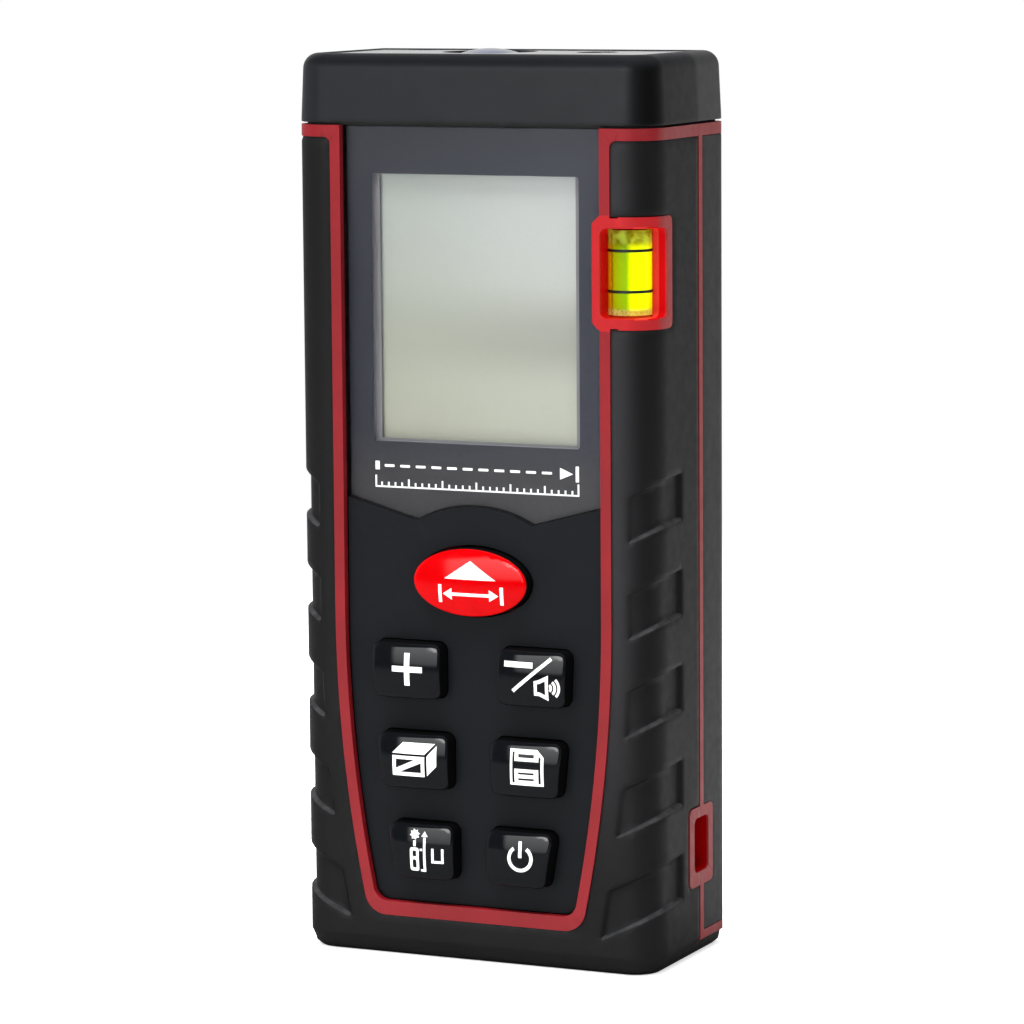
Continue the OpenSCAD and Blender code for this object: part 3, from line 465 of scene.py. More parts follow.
class Shader:
    """A small helper that adds nodes and links to one material."""

    def __init__(self, name):
        self.material = bpy.data.materials.new(name)
        self.material.use_nodes = True
        self.tree = self.material.node_tree
        self.surface = self.tree.nodes["Principled BSDF"]
        self.place = self.node("ShaderNodeTexCoord").outputs["Object"]

    def feed(self, value, target):
        """Gives an input a node output, or a plain number, colour or vector."""
        if hasattr(value, "is_linked"):
            self.tree.links.new(value, target)
        else:
            target.default_value = opaque(value) if target.type == "RGBA" else value

    def node(self, kind, inputs=(), **settings):
        """A new node with its settings, and its inputs given by name or number."""
        made = self.tree.nodes.new(kind)
        for key, value in settings.items():
            setattr(made, key, value)
        for key, value in dict(inputs).items():
            self.feed(value, made.inputs[key])
        return made

    def set(self, **values):
        """Fills inputs of the surface; an underscore stands for a space."""
        for key, value in values.items():
            self.feed(value, self.surface.inputs[key.replace("_", " ")])

    def noise(self, scale, detail=4.0, rough=0.55, stretch=None):
        place = self.place
        if stretch:
            place = self.node("ShaderNodeMapping", {"Vector": place, "Scale": stretch}).outputs["Vector"]
        inputs = {"Vector": place, "Scale": scale, "Detail": detail, "Roughness": rough}
        return self.node("ShaderNodeTexNoise", inputs).outputs["Fac"]

    def colours(self, source, stops):
        """A ramp with any number of stops, each a position and a value or a colour."""
        ramp = self.node("ShaderNodeValToRGB", {"Fac": source})
        elements = ramp.color_ramp.elements
        while len(elements) < len(stops):
            elements.new(0.5)
        for element, (position, value) in zip(elements, stops):
            element.position = position
            element.color = opaque(value)
        return ramp.outputs["Color"]

    def ramp(self, source, low, high, start=0.35, end=0.65):
        """Maps a texture to a range between two values or two colours."""
        return self.colours(source, [(start, low), (end, high)])

    def bump(self, source, distance, strength=1.0, after=None):
        inputs = {"Height": source, "Distance": distance * MM, "Strength": strength}
        if after:
            inputs["Normal"] = after
        return self.node("ShaderNodeBump", inputs).outputs["Normal"]

    def mix(self, factor, a, b, blend="MIX"):
        """Blends two colours, each a plain colour or a node output."""
        inputs = {0: factor, 6: a, 7: b}
        return self.node("ShaderNodeMix", inputs, data_type="RGBA", blend_type=blend).outputs[2]

    def maths(self, kind, a, b=0.0):
        return self.node("ShaderNodeMath", {0: a, 1: b}, operation=kind).outputs["Value"]

    def times(self, a, b):
        return self.maths("MULTIPLY", a, b)

    def plus(self, a, b):
        return self.maths("ADD", a, b)

    def dot(self, vector, axis):
        return self.node("ShaderNodeVectorMath", {0: vector, 1: axis},
                         operation="DOT_PRODUCT").outputs["Value"]

    def along(self, axis, origin=(0, 0, 0)):
        """Distance along an axis from an origin in millimetres, as a node output in metres."""
        start = tuple(v * MM for v in origin)
        offset = self.node("ShaderNodeVectorMath", {0: self.place, 1: start}, operation="SUBTRACT")
        return self.dot(offset.outputs["Vector"], axis)

    def facing(self, axis):
        """1 where the surface faces along an axis, 0 where it is square to it."""
        return self.dot(self.node("ShaderNodeNewGeometry").outputs["Normal"], axis)

    def rise(self, source, start, end, high=1.0, kind="SMOOTHSTEP"):
        """A rise from 0 at start to a high value at end."""
        inputs = {"Value": source, "From Min": start, "From Max": end, "To Max": high}
        return self.node("ShaderNodeMapRange", inputs, interpolation_type=kind).outputs["Result"]

    def reach(self, source, start, end, high=1.0):
        """A smooth rise between two places in millimetres."""
        return self.rise(source, start * MM, end * MM, high)

    def zone(self, low, high, blur=0.06):
        """1 within a box in millimetres and 0 outside; None leaves a side open."""
        result = 1.0
        for axis, start, end in zip(AXES, low, high):
            place = self.along(axis)
            if start is not None:
                result = self.times(self.reach(place, start - blur, start + blur), result)
            if end is not None:
                result = self.times(self.reach(place, end + blur, end - blur), result)
        return result

    def smears(self):
        return self.noise(260, 5, 0.6, (1, 1, 0.35))

    def edges(self, start=0.52, end=0.62):
        """A mask of the convex edges, for wear."""
        pointiness = self.node("ShaderNodeNewGeometry").outputs["Pointiness"]
        return self.ramp(pointiness, 0.0, 1.0, start, end)

    def grained(self, grain, scale, low, high):
        """Moulded grain: fine and broad bumps, with a roughness between low and high."""
        broad = self.noise(700, 3)
        fine = self.bump(self.noise(scale, 2, 0.5), grain, 0.6)
        self.set(Normal=self.bump(broad, grain * 2.5, 0.35, fine), Roughness=self.ramp(broad, low, high))

    def see_through(self, share, tint=1.0):
        """Lets light straight through where share is low, and returns the material."""
        clear = self.node("ShaderNodeBsdfTransparent", {"Color": tint})
        blend = self.node("ShaderNodeMixShader", {"Fac": share})
        self.tree.links.new(clear.outputs["BSDF"], blend.inputs[1])
        self.tree.links.new(self.surface.outputs["BSDF"], blend.inputs[2])
        self.tree.links.new(blend.outputs["Shader"], self.tree.nodes["Material Output"].inputs["Surface"])
        return self.material


def scaled(colour, factor):
    return tuple(min(1.0, c * factor) for c in colour)


def varied(s, scale, colour, spread=0.05):
    """A colour that drifts up and down a little."""
    return s.ramp(s.noise(scale, 3), scaled(colour, 1 - spread), scaled(colour, 1 + spread))


def moulded(name, colour, rough, grain=0.004, grain_scale=9000, wear=0.25, specular=0.5):
    """Moulded plastic or rubber: fine grain, uneven gloss, faint colour drift and worn edges."""
    s = Shader(name)
    worn = s.ramp(s.noise(900), colour, scaled(colour, 1 + wear))
    s.grained(grain, grain_scale, rough * 0.94, min(1.0, rough * 1.06))
    s.set(Base_Color=s.mix(s.edges(), varied(s, 120, colour), worn), Specular_IOR_Level=specular)
    return s.material


def polished(name, colour, rough=0.08, coat=0.6, specular=0.5):
    """Glossy plastic with faint smears and dust."""
    s = Shader(name)
    smears = s.smears()
    s.set(Base_Color=s.ramp(s.noise(400), scaled(colour, 0.93), scaled(colour, 1.07)),
          Roughness=s.ramp(smears, rough * 0.7, rough * 1.7), Normal=s.bump(s.noise(500, 3), 0.004, 0.4),
          Coat_Weight=coat, Coat_Roughness=s.ramp(smears, 0.02, 0.07), Specular_IOR_Level=specular)
    return s.material


def metal(name, colour, rough):
    """Plated or turned metal with fine lines."""
    s = Shader(name)
    lines = s.noise(2500, 3, 0.6, (1, 1, 12))
    s.set(Base_Color=s.ramp(s.noise(300), scaled(colour, 0.85), scaled(colour, 1.08)), Metallic=1.0,
          Roughness=s.ramp(lines, rough * 0.75, rough * 1.3), Normal=s.bump(lines, 0.003, 0.5))
    return s.material


def board_material(name, colour):
    """Solder mask with a faint track pattern."""
    s = Shader(name)
    tracks = s.node("ShaderNodeTexVoronoi", {"Scale": 650, "Vector": s.place}, distance="CHEBYCHEV")
    lines = s.ramp(tracks.outputs["Distance"], 0.0, 1.0, 0.42, 0.5)
    s.set(Base_Color=s.mix(lines, colour, scaled(colour, 1.9)), Roughness=0.35,
          Normal=s.bump(lines, 0.01, 0.5))
    return s.material


def printed(name, colour, rough=0.4):
    """Screen-printed ink with slightly uneven cover."""
    s = Shader(name)
    s.set(Base_Color=s.ramp(s.noise(3000, 3), scaled(colour, 0.94), colour),
          Roughness=s.ramp(s.noise(1500), rough * 0.85, rough * 1.15),
          Normal=s.bump(s.noise(4000), 0.002, 0.5))
    return s.material


def window_material(name):
    """Clear moulding that lets light through unbent, with a mirror-like skin on its outside."""
    gloss, ior = 0.03, 1.34
    s = Shader(name)
    s.tree.nodes.remove(s.surface)
    s.surface = s.node("ShaderNodeBsdfGlossy", {
        "Roughness": s.ramp(s.noise(300, 4), gloss * 0.8, gloss * 1.2),
        "Normal": s.bump(s.noise(250, 2), 0.0003, 0.1)})
    fresnel = s.node("ShaderNodeFresnel", {"IOR": ior}).outputs["Fac"]
    outside = s.maths("SUBTRACT", 1.0, s.node("ShaderNodeNewGeometry").outputs["Backfacing"])
    return s.see_through(s.times(fresnel, outside))


def lcd_material(name):
    """Display glass: cool and pale at the upper right, warmer below, with a soft darker stripe that is a
    painted reflection.
    """
    s = Shader(name)
    half, bottom, top = 13.5, 66.8, 100.5
    height, across = s.along(Z), s.reach(s.along(X), -half, half)
    upward = s.reach(height, bottom, top)
    left = s.mix(upward, (0.301, 0.312, 0.254), (0.317, 0.347, 0.320))
    right = s.mix(upward, (0.342, 0.356, 0.301), (0.402, 0.424, 0.417))
    # Painted reflection: a soft darker stripe across the display, deeper towards the right.
    painted_reflection_band = s.times(s.reach(height, 88.0, 80.9), s.reach(height, 73.0, 79.5))
    depth = s.plus(s.times(across, 0.19), 0.09)
    fade = s.mix(s.times(painted_reflection_band, depth), s.mix(across, left, right), (0.03, 0.03, 0.0))
    grain = s.ramp(s.noise(6000, 2), 0.985, 1.015)
    s.set(Base_Color=s.mix(1.0, fade, grain, "MULTIPLY"), Roughness=s.ramp(s.noise(900), 0.25, 0.27),
          Normal=s.bump(s.noise(5000, 2), 0.0005, 0.2))
    return s.material


def spirit_material(name, cover):
    """Spirit in its tube, its colours painted as the camera sees them: amber wall on the left, then
    green, then bright yellow, with a painted glow.
    """
    s = Shader(name)
    low, high = node_box("vial_tube")
    radius = (high[0] - low[0]) / 2 * MM
    to_camera_right = (0.909, 0.417, 0)
    # Painted refraction and light: the colours are laid across the tube along the camera's right,
    # whatever the view.
    across = s.rise(s.along(to_camera_right, (low + high) / 2), -radius, radius, kind="LINEAR")
    spread = s.plus(across, s.times(s.noise(1400, 3), 0.06))
    body = s.colours(spread, [
        (0.02, (0.62, 0.20, 0.0)), (0.09, (0.70, 0.28, 0.0)), (0.11, (0.20, 0.05, 0.0)),
        (0.15, (0.30, 0.33, 0.002)), (0.42, (0.22, 0.38, 0.0)), (0.47, (0.40, 0.52, 0.0)),
        (0.55, (0.86, 0.92, 0.0)), (0.97, (0.92, 1.0, 0.0))])
    height = s.along(Z, (0, 0, low[2]))
    mottled = s.ramp(s.noise(620, 1.5), (0.09, 0.035, 0.0), (0.34, 0.40, 0.04), 0.42, 0.58)
    cloudy = s.ramp(s.noise(2600, 2), (0.45, 0.20, 0.03), (0.72, 0.66, 0.30))
    body = s.mix(s.reach(height, 8.1, 9.4, 0.85), body, mottled)
    body = s.mix(s.reach(height, 1.0, 0.4, 0.6), body, cloudy)
    # The emission is a painted glow, not a lamp.
    s.set(Base_Color=body, Roughness=s.ramp(s.noise(700), 0.08, 0.16), Emission_Color=body,
          Emission_Strength=0.38, Normal=s.bump(s.noise(300), 0.004, 0.4))
    return s.see_through(cover, (0.95, 1.0, 0.75))


def trim_material(name):
    """The red shells, with painted light and shade: brighter around the spirit level, a saturated red
    with a painted glow within it and in the strap slot, paler on the right side face, and near-black
    behind the keypad panel.
    """
    s = Shader(name)
    low, high = (corner[2] for corner in node_box("vial_tube"))
    panel_half, frame_w, open_w = STRIP_HALF - STRIP_W, 1.9, 0.45
    # Painted light: the frame around the spirit level gets a brighter red than the rest of the shell.
    painted_light_frame = s.zone((16.8, None, low - frame_w), (None, -5.9, high + frame_w))
    # Painted reflection: the right side face is blended towards a paler, greyer red.
    side = s.zone((HALF_W - 0.3, None, None), (None, None, None), 0.2)
    # Painted glow: inside the vial pocket and the strap slot the red is more saturated, and the pocket
    # emits light.
    painted_glow_pocket = s.zone((17.2, -HALF_D + 0.35, low - open_w), (HALF_W - 0.35, -5.0, high + open_w))
    slot = s.zone((18.4, 0.6, 10.7), (HALF_W - 0.25, 5.7, 18.4))
    # Painted shade: the shell behind the keypad panel is near-black, where the gap to the panel lies in
    # shade.
    painted_shade_behind_panel = s.zone((-panel_half - 0.3, PANEL_Y - 0.05, None), (panel_half + 0.03, 0, None))
    # Painted reflection: a paler pink stripe on the right part of the vial pocket's walls.
    pale = s.zone((22.4, None, None), (23.8, None, None), 0.1)
    painted_glow_zones = s.maths("MAXIMUM", painted_glow_pocket, slot)
    base = varied(s, 120, (0.205, 0.0065, 0.0105), 0.08)
    base = s.mix(painted_light_frame, base, varied(s, 160, (0.37, 0.0045, 0.0075)))
    base = s.mix(s.times(side, 0.6), base, (0.20, 0.03, 0.03))
    walls = s.mix(pale, (0.36, 0.0, 0.002), (0.50, 0.035, 0.025))
    base = s.mix(painted_glow_zones, base, s.mix(slot, walls, (0.22, 0.0, 0.0006)))
    base = s.mix(s.times(s.edges(0.56, 0.7), 0.12), base, (0.30, 0.03, 0.035))
    # Painted glow: emission inside the vial pocket and a little in the strap slot.
    glow = s.plus(s.times(painted_glow_pocket, 0.2), s.times(slot, 0.02))
    s.grained(0.004, 9000, 0.40, 0.50)
    s.set(Base_Color=s.mix(painted_shade_behind_panel, base, (0.006, 0.005, 0.006)), Emission_Color=(1.0, 0.0, 0.004),
          Emission_Strength=glow, Specular_IOR_Level=s.mix(painted_glow_zones, 0.34, 0.06))
    return s.material


def rubber_material(name):
    """Black grip rubber with a painted highlight where the front starts to turn to the right, and painted
    highlights on surfaces that face up.
    """
    s = Shader(name)
    across = s.along(X)
    # Painted highlight: lighter rubber in a strip where the front turns to the right, fading out towards
    # the foot.
    painted_sheen = s.times(s.reach(across, 15.0, 18.0), s.reach(across, 23.6, 17.4))
    painted_sheen = s.times(painted_sheen, s.reach(s.along(Z), 8.0, 48.0))
    base = s.mix(painted_sheen, varied(s, 120, (0.0065, 0.0065, 0.0070)),
                 varied(s, 150, (0.0325, 0.0315, 0.0355)))
    worn = s.ramp(s.noise(900), (0.008, 0.008, 0.0084), 0.012)
    base = s.mix(s.edges(0.54, 0.66), base, worn)
    # Painted highlight: surfaces that face up, such as the lower walls of the pockets, are lighter, with
    # a little noise.
    facing_up = s.ramp(s.facing(Z), 0.0, 1.0, 0.25, 0.6)
    painted_up_highlight = s.ramp(s.noise(800), (0.020, 0.020, 0.021), (0.040, 0.040, 0.043))
    s.grained(0.006, 7000, 0.52, 0.58)
    s.set(Base_Color=s.mix(facing_up, base, painted_up_highlight), Specular_IOR_Level=0.24)
    return s.material


def key_material(name, colour, rough, specular):
    """Glossy on the face of a key; down its walls matt, without reflections and near-black as painted
    shade.
    """
    s = Shader(name)
    face = s.ramp(s.facing((0, -1, 0)), 0.0, 1.0, 0.42, 0.62)
    smears = s.smears()
    base = s.ramp(s.noise(400), scaled(colour, 0.95), scaled(colour, 1.05))
    # Painted shade: the walls of every key, the red one too, are near-black.
    s.set(Base_Color=s.mix(face, (0.0028, 0.0028, 0.0032), base),
          Roughness=s.mix(face, 0.5, s.ramp(smears, rough * 0.8, rough * 1.5)),
          Normal=s.bump(s.noise(500, 3), 0.003, 0.3),
          Specular_IOR_Level=s.times(face, specular))
    return s.material


def cap_material(name):
    """Matt plastic of the head cap, with painted light and shade: a little darker in front of the parting
    line, darker still where the front turns into the right side and near the top rim.
    """
    s = Shader(name)
    rear = s.reach(s.along(Y), SEAM_Y - 0.8, SEAM_Y + 0.8)
    # Painted shade: darker where the front turns into the right side, in front of the parting line.
    painted_shade_side = s.reach(s.along(X), HALF_W - FRONT_R, HALF_W - 1.0)
    painted_shade_side = s.times(painted_shade_side, s.maths("SUBTRACT", 1.0, rear))
    # Painted shade: darker towards the top rim.
    rim = s.reach(s.along(Z), TOP_Z - 2.0, TOP_Z - 0.8)
    base = s.mix(painted_shade_side, varied(s, 120, (0.0100, 0.0107, 0.0132)), (0.003, 0.003, 0.0033))
    base = s.mix(rim, base, (0.005, 0.0055, 0.0068))
    # Painted light: the cap behind the parting line is lighter than in front of it.
    base = s.mix(rear, base, varied(s, 140, (0.017, 0.017, 0.018)))
    worn = s.ramp(s.noise(900), (0.011, 0.011, 0.012), (0.017, 0.017, 0.018))
    s.grained(0.005, 8000, 0.40, 0.45)
    s.set(Base_Color=s.mix(s.edges(), base, worn),
          Specular_IOR_Level=s.mix(painted_shade_side, 0.3, 0.19))
    return s.material


def mask_material(name):
    """The print behind the window, with painted light: a little lighter towards the right and below the
    display.
    """
    s = Shader(name)
    # Painted light: the print is lighter towards the right and lighter still under the display.
    across = s.reach(s.along(X), -19, 19)
    below = s.reach(s.along(Z), 70, 60)
    base = s.mix(across, (0.0175, 0.0202, 0.0305), (0.0275, 0.0306, 0.0455))
    base = s.mix(below, base, s.mix(across, (0.0310, 0.0304, 0.0345), (0.0385, 0.0380, 0.0412)))
    s.set(Base_Color=s.mix(s.ramp(s.noise(3000, 3), 0.0, 0.12), base, (0.044, 0.044, 0.050)),
          Roughness=s.ramp(s.noise(1500), 0.42, 0.58), Normal=s.bump(s.noise(4000), 0.002, 0.5))
    return s.material


# Every material slot of the record: the function that makes it, then its colour, gloss and the rest
MAKERS = {
    "red_plastic": (trim_material,),
    "black_rubber": (rubber_material,),
    "grey_rubber": (moulded, (0.0185, 0.0185, 0.019), 0.58, 0.006, 7000, 0.4, 0.4),
    "cap_plastic": (cap_material,),
    "foam": (moulded, (0.02, 0.02, 0.02), 0.9, 0.03, 3500, 0.1),
    "black_gloss": (polished, (0.012, 0.012, 0.016), 0.06),
    "coated_lens": (polished, (0.05, 0.06, 0.10), 0.03, 1.0, 0.8),
    "clear_window": (window_material,),
    "mask_print": (mask_material,),
    "lcd": (lcd_material,),
    "holder_plastic": (moulded, (0.160, 0.160, 0.172), 0.5),
    "light_guide": (polished, (0.8, 0.8, 0.78), 0.2),
    "zebra_rubber": (moulded, (0.45, 0.28, 0.10), 0.6),
    "panel_plastic": (moulded, (0.0072, 0.0080, 0.0098), 0.42, 0.003, 9000, 0.3, 0.12),
    "red_key": (key_material, (0.50, 0.0, 0.0012), 0.07, 0.3),
    "black_key": (key_material, (0.0036, 0.0040, 0.0052), 0.05, 0.4),
    "silicone": (moulded, (0.10, 0.10, 0.11), 0.6),
    "spring_steel": (metal, (0.62, 0.62, 0.60), 0.25),
    "board_green": (board_material, (0.015, 0.12, 0.05)),
    "chip_black": (moulded, (0.02, 0.02, 0.02), 0.55),
    "screw_steel": (metal, (0.52, 0.53, 0.55), 0.3),
    "brass": (metal, (0.72, 0.50, 0.20), 0.25),
    "can_metal": (metal, (0.75, 0.71, 0.58), 0.18),
    "flex_film": (polished, (0.55, 0.22, 0.03), 0.25),
    "battery_jacket": (polished, (0.05, 0.14, 0.34), 0.25),
    "wire_cover": (polished, (0.35, 0.02, 0.02), 0.35),
    "vial_acrylic": (spirit_material, 0.55),
    "vial_liquid": (spirit_material, 0.5),
    "vial_air": (polished, (0.75, 0.85, 0.35), 0.1),
    "line_ink": (printed, (0.01, 0.01, 0.01)),
    "plug_plastic": (moulded, (0.30, 0.32, 0.08), 0.4),
    "label_vinyl": (printed, (0.55, 0.56, 0.57), 0.35),
}
MATERIALS = {slot: make(slot, *values) for slot, (make, *values) in MAKERS.items()}
WHITE_INK = printed("white_ink", (0.93, 0.93, 0.93), 0.4)


def paint_cad_nodes():
    """Every CAD node gets the material of its slot in the record."""
    for part in frame["record"]["subparts"]:
        mesh = frame["nodes"][part["node"]].data
        mesh.materials.clear()
        mesh.materials.append(MATERIALS[part["material_slot"]])


# ---------- Rubber grips ----------

POCKETS = 5
POCKET_PITCH = 12.2
POCKET_H = 6.1
POCKET_TOP = 63.3
POCKET_REAR_Y = -3.0
POCKET_SLOPE_X = 0.458
POCKET_SLOPE_Y = 0.066
POCKET_MARGIN = 2.0
POCKET_DEPTH = 0.6
POCKET_WALLS = (0.8, 0.5, 0.45, 0.4)
GRIP_EDGE_R = 0.22
VIAL_Y, VIAL_Z0, VIAL_Z1 = -6.05, 81.8, 95.8
SLOT_Y0, SLOT_Y1, SLOT_Z0, SLOT_Z1 = -0.7, 7.0, 9.2, 19.5


def pocket_rise(u):
    """How far the slanting edges of a pocket stand above their rear end at u."""
    spot, _ = section_point(u)
    return POCKET_SLOPE_X * (spot[..., 0] - HALF_W) + POCKET_SLOPE_Y * (spot[..., 1] - POCKET_REAR_Y)


class Pocket:
    """One sunken pocket on the right side; its upper and lower edges fall towards the front."""

    def __init__(self, index):
        self.top = POCKET_TOP - POCKET_PITCH * index
        self.low = self.top - POCKET_H
        self.rear = side_u(POCKET_REAR_Y)
        # The slope carries the front end of each edge about this far below its rear end
        fall = 2
        self.high_u, self.low_u = (float(taper_half(STRIP_HALF, z - fall)) + POCKET_MARGIN
                                   for z in (self.top, self.low))

    def loop(self, share):
        """The closed outline moved in by a share of the width of each wall."""
        left, right, bottom, top = (share * w for w in POCKET_WALLS)
        low_u, high_u, rear = self.low_u + left, self.high_u + left, self.rear - right
        count, corner_r, outer_extra = 15, 0.25, 0.3

        def edge(start, end, z):
            u = np.linspace(start, end, count)
            return np.stack([u, z + pocket_rise(u)], 1)
        points = np.concatenate([edge(low_u, rear, self.low + bottom),
                                 edge(rear, high_u, self.top - top)])
        radii = np.zeros(2 * count)
        radii[[0, count - 1, count, 2 * count - 1]] = corner_r + outer_extra * (1 - share)
        loop = rounded(points, radii, 4)
        return np.concatenate([loop, loop[:1]])

    def depth(self, points):
        """Depth of the pocket's surface below the skin."""
        u, w = points[:, 0], points[:, 1] - pocket_rise(points[:, 0])
        slant = (self.high_u - self.low_u) / (self.top - self.low)
        start = self.low_u + slant * (w - self.low)
        gaps = (u - start, self.rear - u, w - self.low, self.top - w)
        shares = [gap / wall for gap, wall in zip(gaps, POCKET_WALLS)]
        short = sum(np.clip(1 - s, 0, None) ** 2 for s in shares)
        inside_all = np.all([s > 0 for s in shares], 0)
        return np.where(inside_all, POCKET_DEPTH * smoothstep(1 - np.sqrt(short)), 0)


def corner_arc(u, z, start):
    """A quarter of a circle around (u, z), the corner of a frame, turning clockwise from start."""
    return arc((u, z), FRAME_R, start, start - 90, 5)


def grip_half_outline(right):
    """Outline of half the front grip in (u, w), with the foot that runs on to the back."""
    seam_u = side_u(SEAM_Y)
    points = [(0, FLOOR_W), (U_MIDDLE, FLOOR_W), (U_MIDDLE, FOOT_Z), (seam_u, FOOT_Z)]
    if right:
        slot_u = side_u(SLOT_Y0) + FRAME_R
        points += [(seam_u, SLOT_Z0), *corner_arc(slot_u, SLOT_Z0 + FRAME_R, 270),
                   *corner_arc(slot_u, SLOT_Z1 - FRAME_R, 180), (seam_u, SLOT_Z1)]
    points += [(seam_u, BAND_Z)]
    points += [*arc((STRIP_HALF + FRAME_R, BAND_Z - FRAME_R), FRAME_R, 90, 180, 5)]
    if right:
        vial_u = side_u(VIAL_Y) - FRAME_R
        points += [(STRIP_HALF, VIAL_Z1), *corner_arc(vial_u, VIAL_Z1 - FRAME_R, 90),
                   *corner_arc(vial_u, VIAL_Z0 + FRAME_R, 0), (STRIP_HALF, VIAL_Z0)]
    straight_z = 60
    points += [*taper_side(STRIP_HALF, STRIP_BOTTOM, STRIP_CORNER, straight_z)[1:]]
    return np.array(points + [(0, STRIP_BOTTOM)])


def level_line(start, end, w, count):
    """A line of points at one height, for the triangulation to follow."""
    return np.stack([np.linspace(start, end, count), np.full(count, w)], 1)


def grip_half(right):
    """Half of the front grip as (verts, faces), closed except at the middle planes and the ends."""
    pockets = [Pocket(i) for i in range(POCKETS)]
    seam_u = side_u(SEAM_Y)
    lines = [pocket.loop(share) for pocket in pockets for share in WALL_SHARES]
    inset, count = 0.1, 110
    *rounds, crease = (level_line(inset, U_MIDDLE - inset, w, count)
                       for w in (FOOT_ARC_W, FOOT_ARC_W - 0.6, FOOT_CREASE))
    lines += rounds
    lines += [crease[crease[:, 0] < seam_u - 0.4], level_line(0, seam_u, FOOT_Z, 70)]
    sheet = Sheet(grip_half_outline(right), edge=0, step=0.6, grid=0.75, lines=lines)
    points, rim = sheet.points, sheet.rim_edges()
    # The walls and the rounded edge follow only the free rim, so that the halves meet without a groove
    free = np.ones(len(rim), bool)
    for cut in (np.abs(points[:, 0]) < 1e-4, np.abs(points[:, 0] - U_MIDDLE) < 1e-4,
                points[:, 1] < FOOT_Z - 1e-3):
        free &= ~(cut[rim[:, 0]] & cut[rim[:, 1]])
    walls = rim[free]
    drop = edge_drop(distance_to_edges(points, points[walls]), GRIP_EDGE_R)
    base, normal = body_place(points)
    sunk = sum(pocket.depth(points) for pocket in pockets)
    top = base - normal * (sunk + drop)[:, None]
    inner_z = np.maximum(points[:, 1:], FOOT_Z)
    spot, side_normal = section_point(points[:, 0])
    inner = np.concatenate([spot - side_normal * GRIP_T, inner_z], 1)
    count = len(points)
    above = (points[:, 1] >= FOOT_Z - 1e-3)[sheet.faces].all(1)
    faces = [tuple(f) for f in sheet.faces]
    faces += [tuple(f[::-1] + count) for f in sheet.faces[above]]
    faces += [(b, a, a + count, b + count) for a, b in walls]
    verts = np.concatenate([top, inner])
    if not right:
        verts = verts * (-1, 1, 1)
        faces = [f[::-1] for f in faces]
    return verts, faces


def fill_flat(bm, z):
    """Closes the open loop of edges that lies at height z."""
    edges = [e for e in bm.edges if e.is_boundary
             and all(abs(v.co.z - z * MM) < 2e-6 for v in e.verts)]
    if edges:
        bmesh.ops.edgeloop_fill(bm, edges=edges)


def build_front_grip():
    verts, faces = merged([grip_half(True), grip_half(False)])
    grip = make_object("front_grip_rubber", verts, faces, MATERIALS["black_rubber"], "housing", 50)
    bm = bmesh.new()
    bm.from_mesh(grip.data)
    loose = [v for v in bm.verts if not v.link_faces]
    bmesh.ops.delete(bm, geom=loose, context="VERTS")
    fill_flat(bm, 0)
    fill_flat(bm, FOOT_Z)
    bmesh.ops.recalc_face_normals(bm, faces=bm.faces)
    for face in bm.faces:
        face.smooth = True
    bm.to_mesh(grip.data)
    bm.free()
    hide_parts("front_grip")


def build_rear_grip():
    """The rear grip wraps the back, with openings for the door and the screws."""
    gap, label_gap, door_r, label_r = 0.15, 0.2, 2.15, 1.6
    screw_head_r, screw_hole_r = 2.1, 2.3
    u0 = side_u(REAR_LOW[1])
    u1 = 2 * U_MIDDLE - u0
    low_z, high_z = REAR_LOW[2], REAR_HIGH[2]
    slot_u = side_u(SLOT_Y1) - FRAME_R
    outline = [(u0, low_z), (u1, low_z), (u1, high_z), (u0, high_z), (u0, SLOT_Z1),
               *corner_arc(slot_u, SLOT_Z1 - FRAME_R, 90), *corner_arc(slot_u, SLOT_Z0 + FRAME_R, 0),
               (u0, SLOT_Z0)]

    def around(name, space, radii):
        """Outline in (u, w) around a node on the back."""
        low, high = node_box(name)
        return rounded(box_outline(U_MIDDLE + low[0] - space, U_MIDDLE + high[0] + space,
                                   low[2] - space, high[2] + space), radii)
    low, high = node_box("case_screws")
    holes = [around("battery_door", gap, (0, 0, door_r, door_r))]
    holes += [ellipse_outline(U_MIDDLE - x, z, screw_hole_r, screw_hole_r, 40)
              for x in (low[0] + screw_head_r, high[0] - screw_head_r)
              for z in (low[2] + screw_head_r, high[2] - screw_head_r)]
    label = around("rating_label", label_gap, label_r)
    sheet = Sheet(outline, holes, edge=0.2, step=0.6, grid=0.9, features=[(label, 0.2, 0.15)])
    verts, faces = solid_from_sheet(sheet, body_place, GRIP_T)
    stand_in("rear_grip_rubber", verts, faces, "grey_rubber", "rear_grip")


# ---------- Head cap ----------

def plan_ring(inset, z, arc_steps=10):
    """Points around the body's section, moved inwards."""
    front_r = max(FRONT_R - inset, 0.05)
    rear_r = max(REAR_R - inset, 0.05)
    w, d = HALF_W - inset, HALF_D - inset
    corners = [((w - front_r, -d + front_r), front_r, -90), ((w - rear_r, d - rear_r), rear_r, 0),
               ((-w + rear_r, d - rear_r), rear_r, 90), ((-w + front_r, -d + front_r), front_r, 180)]
    ring = np.concatenate([arc(c, r, a, a + 90, arc_steps) for c, r, a in corners])
    return np.concatenate([ring, np.full((len(ring), 1), z)], 1)


